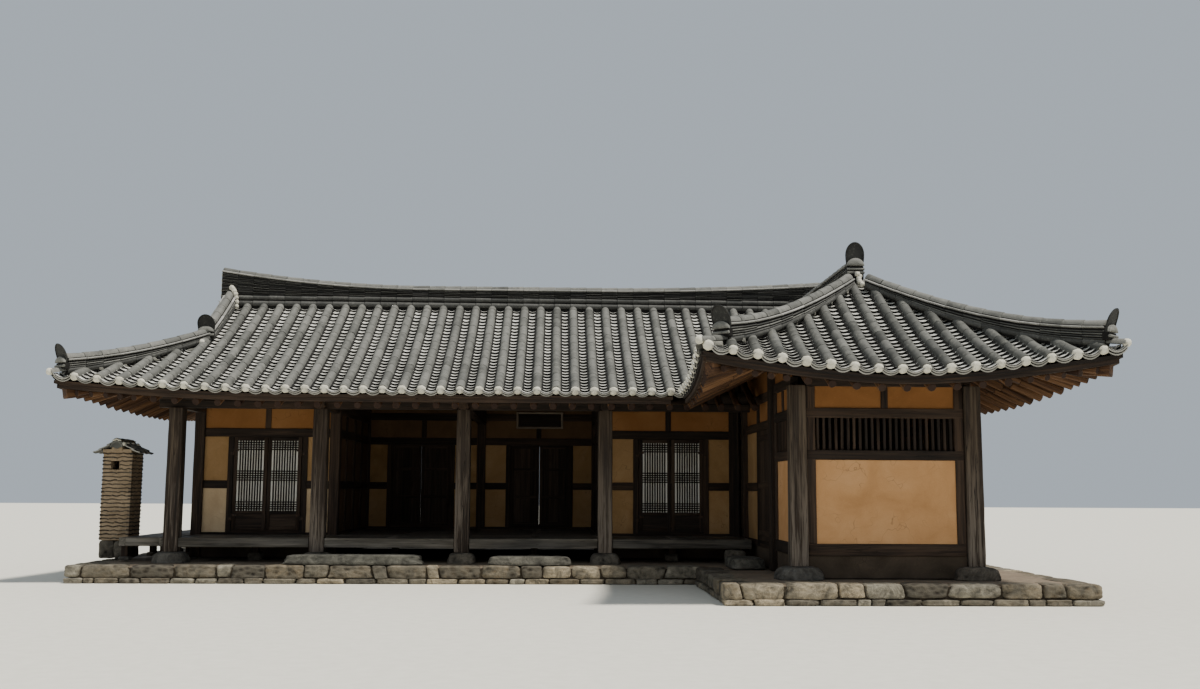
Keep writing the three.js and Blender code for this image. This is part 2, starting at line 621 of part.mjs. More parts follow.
addPiece('hall_back_wall', withHinges(underRoof(aroundBeams(framedWall(backLine,
  X_HALL + SEAT / 2, X_RIGHT_ROOM - SEAT / 2,
  [[X_HALL + halfPost, X_MIDDLE - halfPost], [X_MIDDLE + halfPost, X_RIGHT_ROOM - halfPost]],
  [X_MIDDLE], hallDoorways))), 'hall_door_1_left', 'hall_door_1_right', 'hall_door_2_left',
'hall_door_2_right'), plaster);

addPiece('right_room_front_wall', withHinges(underRoof(aroundBeams(framedWall(frontLine,
  X_RIGHT_ROOM - halfPost, X_WING - FRAME - SEAT, [[X_RIGHT_ROOM + halfPost, X_WING - 300]],
  [X_RIGHT_ROOM, X_ROOM_END], [rightDoorway]))), 'right_room_door_left', 'right_room_door_right'),
plaster);

addPiece('right_back_wall', underRoof(offStones(aroundBeams(framedWall(backLine,
  X_RIGHT_ROOM + SEAT / 2, X_RIGHT + halfPost,
  [[X_RIGHT_ROOM + halfPost, X_WING - halfPost], [X_WING + halfPost, X_RIGHT - halfPost]],
  [X_WING, X_RIGHT])))), plaster);

// Kitchen wing walls: a slatted window band above a tall panel
const KITCHEN_SILL = [610, 780];
const WINDOW_SILL = [1960, 2100];
const WINDOW_HEAD = [2560, 2700];
const KITCHEN_TOP_RAIL = [3010, 3160];
const kitchenLine = alongY(X_WING);
const wingFrontLine = alongX(Y_WING);
const rightLine = alongY(X_RIGHT);
const besideWingPost = FRONT_POST / 2 + SEAT;
const jambWidth = 130;

function slatBay(line, u0, u1) {
  const rails = [KITCHEN_SILL, WINDOW_SILL, WINDOW_HEAD, KITCHEN_TOP_RAIL];
  const middle = (u0 + u1) / 2;
  return [
    ...rails.map((rail) => member(line, u0, u1, FRAME, ...rail)),
    member(line, u0, u0 + jambWidth, FRAME, ...[KITCHEN_SILL[0], KITCHEN_TOP_RAIL[1]]),
    member(line, u1 - jambWidth, u1, FRAME, ...[KITCHEN_SILL[0], KITCHEN_TOP_RAIL[1]]),
    member(line, middle - 50, middle + 50, FRAME, WINDOW_HEAD[1] - 10, KITCHEN_TOP_RAIL[0] + 10),
  ];
}
const windowCut = (line, u0, u1) => member(line, u0 + jambWidth, u1 - jambWidth, 600,
  WINDOW_SILL[1], WINDOW_HEAD[0]);
function slatWall(line, u0, u1) {
  const panel = member(line, u0, u1, PLASTER, TERRACE + SEAT, WALL_TOP);
  return cut(join(panel, ...slatBay(line, u0, u1)), windowCut(line, u0, u1));
}

const wingFrontSpan = [X_WING + besideWingPost, X_RIGHT - besideWingPost];
addPiece('kitchen_front_wall', underRoof(offStones(slatWall(wingFrontLine, ...wingFrontSpan))),
  plaster);

const kitchenNear = [Y_WING + besideWingPost, Y_KITCHEN_POST - 120];
const kitchenPostBox = (y) => member(kitchenLine, y - 120, y + 120, CORNER_POST, TERRACE + SEAT,
  WALL_TOP);
const kitchenFar = [Y_KITCHEN_POST + 120, Y_WALL + 90];
const kitchenMembers = [
  member(kitchenLine, ...kitchenFar, FRAME, SILL[0], kitchenDoorway.z[0]),
  member(kitchenLine, ...kitchenFar, FRAME, kitchenDoorway.z[1], 2640),
  member(kitchenLine, ...kitchenFar, FRAME, 2950, 3100),
  member(kitchenLine, kitchenDoorway.span[0] - 80, kitchenDoorway.span[0], FRAME, SILL[0], 2640),
  member(kitchenLine, kitchenDoorway.span[1], kitchenDoorway.span[1] + 200, FRAME, SILL[0], 2960),
  member(kitchenLine, kitchenDoorway.span[1], Y_CORNER_POST, FRAME, ...MID_RAIL),
  kitchenPostBox(Y_KITCHEN_POST),
  kitchenPostBox(Y_CORNER_POST),
];
addPiece('kitchen_left_wall', withHinges(underRoof(offStones(cut(join(
  member(kitchenLine, kitchenNear[0], kitchenFar[1], PLASTER, TERRACE + SEAT, WALL_TOP),
  ...slatBay(kitchenLine, ...kitchenNear), ...kitchenMembers,
), windowCut(kitchenLine, ...kitchenNear), doorwayCut(kitchenLine, kitchenDoorway)))),
'kitchen_door'), plaster);

const rightBays = [-1785, 100, 1900, 3400];
const rightNear = [Y_WING + besideWingPost, rightBays[0] - halfPost];
addPiece('right_side_wall', underRoof(offStones(cut(join(
  framedWall(rightLine, rightNear[0], Y_BACK - besidePost, [
    [rightBays[0] + halfPost, rightBays[1] - halfPost],
    [rightBays[1] + halfPost, rightBays[2] - halfPost],
    [rightBays[2] + halfPost, rightBays[3] - halfPost],
    [rightBays[3] + halfPost, Y_BACK - besidePost],
  ], rightBays, [], GABLE_SEAT),
  ...slatBay(rightLine, ...rightNear),
), windowCut(rightLine, ...rightNear)))), plaster);

// The right gable wall stands on the right side wall
addPiece('right_gable_wall',
  underRoof(gableWall(X_RIGHT - 60, X_RIGHT - 5, GABLE_SEAT + SEAT)), darkTimber);

// Floors
const frontEdge = Y_FRONT - 110;
const wallFace = Y_WALL - FRAME / 2 - SEAT;
const postFit = (x, y, width) => post(x, y, width + 2 * SEAT, 0, SKY / 2, 1);
const porchFloor = box(X_LEFT + 60, X_WING - CORNER_POST / 2 - SEAT, frontEdge, wallFace,
  FLOOR - 50, FLOOR);
const hallSide = FRAME / 2 + SEAT;
const hallFloor = box(X_HALL + hallSide, X_RIGHT_ROOM - hallSide, wallFace - 10,
  Y_BACK - FRAME / 2 - SEAT, FLOOR - 50, FLOOR);
const edgeBeam = (x0, x1, y0, y1) => box(x0, x1, y0, y1, FLOOR_UNDER, FLOOR - 20);
const joistLines = [600, 1200, 1800, 3000, 3600, 4200, 5400, 6000, 6600, 7800, 8400, 9000];
const floorBeams = [
  edgeBeam(X_LEFT + 60, X_WING - CORNER_POST / 2 - SEAT, frontEdge, frontEdge + 130),
  edgeBeam(X_LEFT + 60, X_WING - CORNER_POST / 2 - SEAT, wallFace - 120, wallFace),
  edgeBeam(X_HALL + hallSide, X_RIGHT_ROOM - hallSide, 3000, 3120),
  edgeBeam(X_HALL + hallSide, X_RIGHT_ROOM - hallSide, Y_BACK - FRAME / 2 - SEAT - 120,
    Y_BACK - FRAME / 2 - SEAT),
  ...joistLines.map((x) => edgeBeam(x - 50, x + 50, frontEdge + 60, wallFace - 60)),
];
addPiece('hall_floor', cut(join(porchFloor, hallFloor, ...floorBeams),
  ...porchPosts.map((x) => postFit(x, Y_FRONT, FRONT_POST)),
  ...[X_LEFT, X_HALL, X_RIGHT_ROOM, X_ROOM_END].map((x) =>
    box(x - besidePost, x + besidePost, Y_WALL - besidePost, Y_WALL + besidePost, 0, BEAM)),
  box(X_MIDDLE - besidePost, X_MIDDLE + besidePost, Y_BACK - besidePost, Y_BACK, 0, BEAM),
), floorTimber);

// Heated floors of the rooms, stone and clay up to the level of the timber floor
function roomFloor(name, x0, x1) {
  const slab = box(x0, x1, Y_WALL + FRAME / 2 + SEAT, Y_BACK - FRAME / 2 - SEAT, TERRACE + SEAT, FLOOR);
  const corners = [x0, x1].flatMap((x) => [Y_WALL, Y_BACK].map((y) =>
    box(x - 60, x + 60, y - besidePost, y + besidePost, 0, BEAM)));
  const endPost = box(X_ROOM_END - besidePost, X_WING, Y_WALL - besidePost, Y_WALL + besidePost,
    0, BEAM);
  addPiece(name, offStones(cut(slab, endPost, ...corners)), plaster);
}
roomFloor('left_room_floor', X_LEFT + hallSide, X_HALL - hallSide);
roomFloor('right_room_floor', X_RIGHT_ROOM + hallSide, X_WING - hallSide);

// Narrow plank veranda along the left side, on short legs
const VERANDA = [-900, -130];
const verandaY = [50, 4500];
const legs = [200, 1600, 3000, 4350].flatMap((y) => [VERANDA[0] + 70, VERANDA[1] - 60].map((x) =>
  box(x - 60, x + 60, y - 60, y + 60, TERRACE + SEAT, FLOOR - 20)));
addPiece('side_veranda', cut(join(box(...VERANDA, ...verandaY, FLOOR - 50, FLOOR),
  box(VERANDA[0], VERANDA[0] + 120, ...verandaY, FLOOR_UNDER, FLOOR - 20),
  box(VERANDA[1] - 120, VERANDA[1], ...verandaY, FLOOR_UNDER, FLOOR - 20),
  box(...VERANDA, verandaY[0], verandaY[0] + 120, FLOOR_UNDER, FLOOR - 20),
  box(...VERANDA, verandaY[1] - 120, verandaY[1], FLOOR_UNDER, FLOOR - 20), ...legs),
...stoneCuts), floorTimber);

// Door leaves, each turned into place from its hanging edge
for (const [name, { leaf, material, hinge, angle, mirrored }] of Object.entries(doors)) {
  const mesh = addPiece(name, mirrored ? mirror(geometryOf(leaf)) : geometryOf(leaf), material);
  mesh.position.set(...hinge);
  mesh.rotation.z = angle;
}

// Blank name board over the right back door of the hall
const boardFace = Y_BACK - FRAME / 2 - SEAT;
addPiece('name_board', join(
  box(5560, 6480, boardFace - 25, boardFace, 2800, 3100),
  box(5530, 6510, boardFace - 45, boardFace, 2780, 2820),
  box(5530, 6510, boardFace - 45, boardFace, 3090, 3130),
  box(5530, 5575, boardFace - 45, boardFace, 2780, 3130),
  box(6465, 6510, boardFace - 45, boardFace, 2780, 3130),
), boardBlack);

// Ridges: rounded walls of thin tile courses that follow a line over the roof
const RIDGE_PROFILE = [[-0.5, 0], [0.5, 0], [0.46, 0.72], [0.27, 0.9], [0, 1], [-0.27, 0.9],
  [-0.46, 0.72]];
function ridgeBody(line, width) {
  const rings = line.map(([x, y, z, top], i) => {
    const [px, py] = line[Math.max(0, i - 1)];
    const [nx, ny] = line[Math.min(line.length - 1, i + 1)];
    const length = Math.hypot(nx - px, ny - py);
    const side = [-(ny - py) / length, (nx - px) / length];
    return RIDGE_PROFILE.map(([u, v]) => [
      x + side[0] * u * width, y + side[1] * u * width, z + (top - z) * v]);
  });
  return solid(loft(rings));
}

// Upright round-topped end tile, facing along the given plan direction
function endTile(x, y, z, direction, width, height, thickness = 70) {
  const outline = new THREE.Shape();
  outline.moveTo(-width / 2, 0);
  outline.lineTo(width / 2, 0);
  outline.lineTo(width / 2, height - width / 2);
  outline.absarc(0, height - width / 2, width / 2, 0, Math.PI, false);
  const tile = new THREE.ExtrudeGeometry(outline, {
    depth: thickness, bevelEnabled: false, curveSegments: 8,
  });
  tile.translate(0, 0, -20);
  tile.rotateX(Math.PI / 2);
  tile.rotateZ(Math.atan2(direction[1], direction[0]) + Math.PI / 2);
  return solid(tile.translate(x, y, z));
}

const mix = (a, b, f) => a + (b - a) * f;

// A ridge along a straight plan line, low or high above the roof surface at each end
function ridgeLine(from, to, surface, heights, count = 6) {
  return Array.from({ length: count + 1 }, (_, i) => {
    const f = i / count;
    const x = mix(from[0], to[0], f);
    const y = mix(from[1], to[1], f);
    const z = surface(x, y);
    const [sx, sy, sz] = swept([x, y, z]);
    return [sx, sy, sz - 120, sz + mix(heights[0], heights[1], f)];
  });
}

const MAIN_RIDGE_TOP = 5410;
const LEFT_RISE = { from: 3900, lift: 310 };
const RIGHT_RISE = { from: 7200, lift: 220 };
const mainTop = (x) => MAIN_RIDGE_TOP
  + LEFT_RISE.lift * Math.max(0, 1 - x / LEFT_RISE.from) ** 2
  + RIGHT_RISE.lift * Math.max(0, (x - RIGHT_RISE.from) / (X_RIGHT - RIGHT_RISE.from)) ** 2;
const ridgeTop = tileFace(RIDGE_Y - EAVE_FRONT);
const mainStations = [-30, 400, 900, 1500, 2200, 3000, 3900, 5600, 7200, 8500, 9600, 10600, 11500,
  X_RIGHT + 30];
const mainRidge = ridgeBody(mainStations.map((x) =>
  [x, RIDGE_Y, ridgeTop - 120, mainTop(Math.max(0, x))]), MAIN_RIDGE_WIDTH);
addPiece('main_ridge', onRoof(mainRidge), ridgeGrey);

// Descending ridges along the gable edges and hip ridges out to the corners
const frontSurface = (x, y) => tileFace(y - EAVE_FRONT);
const backSurface = (x, y) => tileFace(EAVE_BACK - y);
function sideRidge(name, edgeX, inward, corner, hipY, surface) {
  const toBack = Math.sign(RIDGE_Y - hipY);
  const ridgeX = edgeX + inward * 160;
  const start = [ridgeX, RIDGE_Y - toBack * 165];
  const foot = [ridgeX, hipY + toBack * 420];
  const descending = ridgeBody(ridgeLine(start, foot, surface, [360, 300]), 280);
  const hipStart = [ridgeX, hipY + toBack * 520];
  const hipEnd = [mix(corner[0], edgeX, 0.11), mix(corner[1], hipY, 0.11)];
  const hip = ridgeBody(ridgeLine(hipStart, hipEnd, surface, [260, 330]), 260);
  const [ex, ey, ez] = swept([...foot, surface(...foot)]);
  const [cx, cy, cz] = swept([...hipEnd, surface(...hipEnd)]);
  const outward = [corner[0] - edgeX, corner[1] - hipY];
  const shape = join(descending, hip,
    endTile(ex, ey, ez - 60, [0, -toBack], 300, 520),
    endTile(cx, cy, cz - 60, outward, 280, 560));
  addPiece(name, cut(onRoof(shape), mainRidgeSpace), ridgeGrey);
}
const mainRidgeSpace = ridgeBody(mainStations.map((x) =>
  [x, RIDGE_Y, ridgeTop - 120 - SEAT, mainTop(Math.max(0, x)) + SEAT]),
MAIN_RIDGE_WIDTH + 2 * SEAT);
sideRidge('left_front_ridge', X_LEFT, 1, [EAVE_LEFT, EAVE_FRONT], leftHipY, frontSurface);
sideRidge('left_back_ridge', X_LEFT, 1, [EAVE_LEFT, EAVE_BACK], mirrorY(leftHipY), backSurface);
sideRidge('right_back_ridge', X_RIGHT, -1, [EAVE_RIGHT, EAVE_BACK], mirrorY(rightHipY),
  backSurface);

// Wing: a short ridge from the main roof to the apex, and two hips
const wingSurface = (x) => tileFace(SIDE_PITCH * Math.min(x - EAVE_WING_LEFT, EAVE_RIGHT - x));
const apexSurface = wingSurface(WING_RIDGE_X);
const wingRidge = ridgeBody(ridgeLine([WING_RIDGE_X, RIDGE_Y - 165], [WING_RIDGE_X, apexY + 40],
  wingSurface, [430, 430]), WING_RIDGE_WIDTH);
const apexTile = endTile(WING_RIDGE_X, apexY + 80, apexSurface + 100, [0, -1], WING_RIDGE_WIDTH, 590, 90);
addPiece('wing_ridge', cut(onRoof(join(wingRidge, apexTile)), mainRidgeSpace), ridgeGrey);
const wingRidgeSpace = ridgeBody(ridgeLine([WING_RIDGE_X, RIDGE_Y], [WING_RIDGE_X, apexY + 40],
  wingSurface, [430 + SEAT, 430 + SEAT]), WING_RIDGE_WIDTH + 2 * SEAT);
function hipRidge(name, cornerX, reach) {
  const corner = [cornerX, EAVE_WING_FRONT];
  const apex = [WING_RIDGE_X, apexY];
  const from = [mix(apex[0], corner[0], 0.055), mix(apex[1], corner[1], 0.055)];
  const to = [mix(apex[0], corner[0], reach), mix(apex[1], corner[1], reach)];
  const line = ridgeLine(from, to, wingSurface, [330, 330], 8);
  const [cx, cy, cz] = swept([...to, wingSurface(to[0])]);
  const tile = endTile(cx, cy, cz - 60, [corner[0] - apex[0], corner[1] - apex[1]], 280, 620);
  const apexSpace = box(WING_RIDGE_X - 160 - SEAT, WING_RIDGE_X + 160 + SEAT, apexY - 11, SKY, 0, SKY);
  addPiece(name, cut(onRoof(join(ridgeBody(line, 260), tile)), wingRidgeSpace, apexSpace),
    ridgeGrey);
}
hipRidge('wing_left_ridge', EAVE_WING_LEFT, 0.86);
hipRidge('wing_right_ridge', EAVE_RIGHT, 0.93);

// Right front descending ridge, down the edge of the gable into the valley
const rightStart = [X_RIGHT - 160, RIDGE_Y - 165];
const rightFoot = [X_RIGHT - 160, rightHipY + 420];
const rightDescending = ridgeBody(ridgeLine(rightStart, rightFoot, frontSurface, [360, 300]), 280);
const rightEnd = endTile(rightFoot[0], rightFoot[1], frontSurface(...rightFoot) - 60, [0, -1], 300, 520);
addPiece('right_front_ridge', cut(onRoof(join(rightDescending, rightEnd)), mainRidgeSpace),
  ridgeGrey);

// Chimney on the left end of the terrace: a flue with a smoke hole under a small tiled cap
const STACK = [-1440, -925, 600, 1160];
const STACK_FOOT = 620;
const STACK_TOP = 2120;
const FLUE_WALL = 130;
addPiece('chimney_stack', cut(
  join(box(...STACK, STACK_FOOT - 20, STACK_TOP), box(STACK[0] - 8, STACK[1] + 12, STACK[2] - 25,
    STACK[3] + 25, TERRACE + SEAT, STACK_FOOT)),
  box(STACK[0] + FLUE_WALL, STACK[1] - FLUE_WALL, STACK[2] + FLUE_WALL, STACK[3] - FLUE_WALL,
    STACK_FOOT + 80, STACK_TOP + 10),
  box(STACK[0] + 150, STACK[0] + 290, STACK[2] - 50, STACK[2] + FLUE_WALL + 50, 1820, 1970),
), chimneyBrown);
const CAP = { half: 400, overhang: 90, eave: 2095, saddle: 2230, ridge: 2370 };
const capX = (STACK[0] + STACK[1]) / 2;
const capSection = [[-CAP.half, CAP.eave - 25], [-255, STACK_TOP + SEAT], [255, STACK_TOP + SEAT],
  [CAP.half, CAP.eave - 25], [CAP.half, CAP.eave + 15], [240, 2160], [110, CAP.saddle],
  [100, CAP.ridge - 30], [50, CAP.ridge], [-50, CAP.ridge], [-100, CAP.ridge - 30],
  [-110, CAP.saddle], [-240, 2160], [-CAP.half, CAP.eave + 15]];
const capShape = new THREE.Shape(capSection.map(([x, z]) => new THREE.Vector2(x, z)));
const capGeometry = new THREE.ExtrudeGeometry(capShape, {
  depth: STACK[3] - STACK[2] + 2 * CAP.overhang, bevelEnabled: false,
});
capGeometry.rotateX(Math.PI / 2);
capGeometry.translate(capX, STACK[3] + CAP.overhang, 0);
addPiece('chimney_cap', cut(solid(capGeometry), box(STACK[0] - SEAT, STACK[1] + SEAT,
  STACK[2] - SEAT, STACK[3] + SEAT, 0, STACK_TOP + SEAT)), tileGrey);

// The origin is the middle of the footprint, at ground level
const bounds = new THREE.Box3().setFromObject(house);
const placed = new THREE.Group();
house.position.set(-(bounds.min.x + bounds.max.x) / 2, -(bounds.min.y + bounds.max.y) / 2,
  -bounds.min.z);
placed.add(house);

export default placed;
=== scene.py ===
"""Hanok house: tiles, timbers, plaster, stones and doors over the frame. Metres, +Z up."""
import itertools
import math
import bpy
import numpy as np
from mathutils import Matrix, Vector


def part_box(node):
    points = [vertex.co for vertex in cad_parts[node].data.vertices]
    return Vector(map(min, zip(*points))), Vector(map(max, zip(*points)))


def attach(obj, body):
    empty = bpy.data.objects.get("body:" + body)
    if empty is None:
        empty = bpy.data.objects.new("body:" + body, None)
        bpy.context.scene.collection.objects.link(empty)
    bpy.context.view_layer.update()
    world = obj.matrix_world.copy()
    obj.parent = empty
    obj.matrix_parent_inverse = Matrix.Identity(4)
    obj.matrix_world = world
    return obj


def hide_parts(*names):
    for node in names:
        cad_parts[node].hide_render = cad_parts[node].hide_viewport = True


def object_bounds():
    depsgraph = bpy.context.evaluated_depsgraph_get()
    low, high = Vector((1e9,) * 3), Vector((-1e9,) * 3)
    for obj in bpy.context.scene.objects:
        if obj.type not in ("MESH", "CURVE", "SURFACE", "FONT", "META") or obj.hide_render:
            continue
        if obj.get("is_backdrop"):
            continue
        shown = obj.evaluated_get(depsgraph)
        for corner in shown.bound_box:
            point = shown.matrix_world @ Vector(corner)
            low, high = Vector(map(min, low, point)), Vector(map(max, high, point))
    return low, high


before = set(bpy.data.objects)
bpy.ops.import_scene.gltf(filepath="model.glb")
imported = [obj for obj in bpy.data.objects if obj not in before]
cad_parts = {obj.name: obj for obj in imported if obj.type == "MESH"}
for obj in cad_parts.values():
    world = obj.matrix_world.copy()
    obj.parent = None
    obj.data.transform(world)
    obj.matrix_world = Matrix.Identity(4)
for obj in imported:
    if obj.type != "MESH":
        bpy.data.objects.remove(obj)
cad_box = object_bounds()
rng = np.random.default_rng(11)

# Everything is laid out from the centre of the front left post, as in the part
post_low, post_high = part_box("porch_post_1")
ORIGIN = np.array([(post_low.x + post_high.x) / 2, (post_low.y + post_high.y) / 2, 0.0])
UP = np.array([0, 0, 1.0])

# Plan lines and levels
X_LEFT, X_HALL, X_MIDDLE, X_RIGHT_ROOM, X_WING, X_RIGHT = 0.0, 2.4, 4.8, 7.2, 9.8, 12.32
Y_WING, Y_KITCHEN_POST, Y_FRONT, Y_CORNER_POST, Y_WALL, Y_BACK = -3.35, -1.785, 0.0, 0.93, 1.35, 4.85
TERRACE, STONE, FLOOR = 0.3, 0.47, 0.7
SILL, MID_RAIL, HEAD_RAIL, TOP_RAIL = (0.61, 0.74), (1.51, 1.65), (2.43, 2.58), (2.94, 3.09)
T_LEFT, T_FRONT, T_WING_LEFT, T_WING_FRONT, T_RIGHT, T_BACK = -1.45, -0.8, 8.6, -4.3, 13.76, 5.65

SHARP_ANGLE = math.radians(38)


def unit(v):
    return v / np.maximum(np.linalg.norm(v, axis=-1, keepdims=True), 1e-9)


def jitter(size, *shape):
    """Random amounts from -size to size"""
    return rng.uniform(-size, size, shape if shape else None)


def ripple(p, scale, seed=0.0):
    """Smooth unevenness at points p, about -1 to 1"""
    x, y, z = (np.asarray(p) * scale).T
    return (np.sin(x * 1.7 + seed) * np.cos(y * 2.1 - seed * 0.7) + np.sin(y * 1.3 + z * 2.3 + seed * 1.9)
            + np.cos(z * 1.9 - x * 1.1 + seed * 0.4)) / 3


class Soup:
    """Collects faces and makes one mesh piece of them"""

    def __init__(self):
        self.points, self.grains, self.tones, self.faces, self.slots = [], [], [], [], []
        self.count = 0

    def add(self, points, faces, slot=0, grain=None, tone=0.5):
        """Faces are one array or a list of arrays, with one slot for all or a list with each one's own"""
        points = np.asarray(points, float).reshape(-1, 3)
        self.points.append(points)
        self.grains.append(points if grain is None else np.asarray(grain, float).reshape(-1, 3))
        self.tones.append(np.broadcast_to(np.ravel(tone).astype(float), len(points)))
        faces = faces if isinstance(faces, list) else [faces]
        for block, own in zip(faces, slot if isinstance(slot, list) else [slot] * len(faces)):
            self.faces.append(np.asarray(block, int) + self.count)
            self.slots.append(np.full(len(block), own))
        self.count += len(points)

    def dress(self, node, look, slot, body="house"):
        """Make the piece that stands in for a node"""
        mesh = bpy.data.meshes.new(node + "_dressed")
        points = np.clip(np.concatenate(self.points) + ORIGIN, *np.array(cad_box))
        loops = np.concatenate([f.ravel() for f in self.faces])
        totals = np.concatenate([np.full(len(f), f.shape[1]) for f in self.faces])
        mesh.vertices.add(len(points))
        mesh.vertices.foreach_set("co", points.ravel())
        mesh.loops.add(len(loops))
        mesh.loops.foreach_set("vertex_index", loops)
        mesh.polygons.add(len(totals))
        mesh.polygons.foreach_set("loop_start", np.concatenate([[0], np.cumsum(totals)[:-1]]))
        mesh.polygons.foreach_set("material_index", np.concatenate(self.slots))
        mesh.update(calc_edges=True)
        grain = mesh.attributes.new("grain", "FLOAT_VECTOR", "POINT")
        grain.data.foreach_set("vector", np.concatenate(self.grains).ravel())
        tone = mesh.attributes.new("tone", "FLOAT", "POINT")
        tone.data.foreach_set("value", np.concatenate(self.tones))
        mesh.validate()
        mesh.shade_smooth()
        mesh.set_sharp_from_angle(angle=SHARP_ANGLE)
        for material in look:
            mesh.materials.append(material)
        piece = bpy.data.objects.new(node + "_dressed", mesh)
        bpy.context.scene.collection.objects.link(piece)
        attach(piece, body)
        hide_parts(node)


def quads(ids):
    """Faces between neighbouring rows and columns of point numbers"""
    return np.stack([ids[..., :-1, :-1], ids[..., :-1, 1:], ids[..., 1:, 1:], ids[..., 1:, :-1]], -1)


def fan(count):
    """Triangles that close a ring of points"""
    return np.array([[0, i, i + 1] for i in range(1, count - 1)])


def tube_faces(rings, count):
    """Side faces between rings that run anticlockwise seen from their start, and two fans"""
    ids = np.arange(rings * count).reshape(rings, count)
    a, b = ids[:-1], ids[1:]
    sides = np.stack([a, b, np.roll(b, -1, 1), np.roll(a, -1, 1)], -1).reshape(-1, 4)
    return [sides, ids[0][fan(count)], ids[-1][fan(count)[:, ::-1]]]


def add_tube(soup, rings, slot, tone, shift=30):
    """Tube through rings of points, with its own shift of the grain and, between two ends, its own tone"""
    rings = np.asarray(rings)
    grain = rings + rng.uniform(0, shift, 3)
    own_tone = rng.uniform(*tone) if isinstance(tone, tuple) else tone
    soup.add(rings, tube_faces(*rings.shape[:2]), slot, grain, own_tone)


def axes(along):
    """Unit vectors along a direction, across it and out of its top"""
    d = unit(np.asarray(along, float))
    side = unit(np.cross(d, [0.0, 1, 0] if abs(d[2]) > 0.9 else UP))
    return d, side, np.cross(side, d)


def rail(soup, a, b, section, slot=0, step=0.4, rough=0.002, bevel=0.006, tone=None, end_tone=None):
    """Solid along a to b with the section given as (across, up) points"""
    a, b, section = (np.asarray(v, float) for v in (a, b, section))
    d, side, top = axes(b - a)
    length = np.linalg.norm(b - a)
    inner = np.linspace(0, length, max(1, round(length / step)) + 1)[1:-1]
    stations = np.concatenate([[0, bevel], inner, [length - bevel, length]])
    wobble = jitter(rough, len(stations), 2)
    offset = rng.uniform(0, 40, 3)
    rings, grain = [], []
    for i, s in enumerate(stations):
        at_end = i in (0, len(stations) - 1)
        uv = section * (1 - bevel / np.abs(section).max() if at_end else 1) + wobble[i]
        rings.append(a + d * s + uv[:, :1] * side + uv[:, 1:] * top)
        grain.append(np.column_stack([np.full(len(uv), s), uv]) + offset)
    tones = np.full(len(rings) * len(section), rng.uniform() if tone is None else tone)
    if end_tone is not None:
        tones[:len(section)] = end_tone
    soup.add(np.array(rings), tube_faces(len(rings), len(section)), slot, np.array(grain), tones)


def squared(width, depth, bevel=0.008):
    """Section of a squared timber with bevelled arrises"""
    w, h, c = width / 2, depth / 2, min(bevel, width / 4, depth / 4)
    return [(-w, -h + c), (-w + c, -h), (w - c, -h), (w, -h + c),
            (w, h - c), (w - c, h), (-w + c, h), (-w, h - c)]


def timber(soup, a, b, width, depth, slot=0, bevel=0.008, **more):
    """Squared timber, width across and depth up (or along Y where it stands upright)"""
    rail(soup, a, b, squared(width, depth, bevel), slot, bevel=min(0.006, bevel), **more)


def log(soup, a, b, radius, slot, sides, **more):
    """Round timber or rod"""
    angle = np.arange(sides) * 2 * math.pi / sides
    rail(soup, a, b, np.column_stack([np.cos(angle), np.sin(angle)]) * radius, slot, **more)


def sheet(soup, grid, slot=0, tone=0.5, grain=None, flip=False):
    """Faces over a grid of points, rows by columns"""
    rows, cols = grid.shape[:2]
    faces = quads(np.arange(rows * cols).reshape(rows, cols)).reshape(-1, 4)
    soup.add(grid, faces[:, ::-1] if flip else faces, slot, grain, tone)


def cube_faces(cells):
    """Points on the faces of the cube from -1 to 1, shared along its edges"""
    index, points, faces = {}, [], []
    t = np.linspace(-1, 1, cells + 1)
    for axis, end in itertools.product(range(3), (-1, 1)):
        for i, j in itertools.product(range(cells), repeat=2):
            corners = []
            for a, b in ((i, j), (i + 1, j), (i + 1, j + 1), (i, j + 1)):
                p = np.zeros(3)
                p[axis], p[(axis + 1) % 3], p[(axis + 2) % 3] = end, t[a], t[b]
                key = tuple(np.round(p, 5))
                if key not in index:
                    index[key] = len(points)
                    points.append(p)
                corners.append(index[key])
            faces.append(corners if end > 0 else corners[::-1])
    return np.array(points), np.array(faces)


CUBE = cube_faces(5)
SMALL_CUBE = cube_faces(3)
STONE_CUBE = cube_faces(9)
STEP_CUBE = cube_faces(8)


def pulled_in(points, square):
    """A cube's points pulled towards a ball; the higher square is, the less"""
    return points / (np.abs(points) ** square).sum(1, keepdims=True) ** (1 / square)


def stone(soup, low, high, slot=0, rough=0.06, square=5.0, shape=CUBE, taper=1.0):
    """Rough rounded stone that fills the box from low to high"""
    low, high = np.asarray(low, float), np.asarray(high, float)
    points, faces = shape
    p = pulled_in(points, square)
    seed = rng.uniform(0, 60)
    half = (high - low) / 2
    place = p * half / half.min() + seed
    bump = ripple(place, 1.9, seed) + 0.5 * ripple(place, 4.3, seed * 2)
    p = np.clip(p * (1 - rough * 0.7 + rough * bump[:, None]), -1, 1)
    p[:, :2] *= 1 + (taper - 1) * (p[:, 2:] + 1) / 2
    world = (low + high) / 2 + p * half
    soup.add(world, faces, slot, world + seed, rng.uniform())


# ---- Materials: procedural, in metres, from each piece's own grain and tone attributes ----


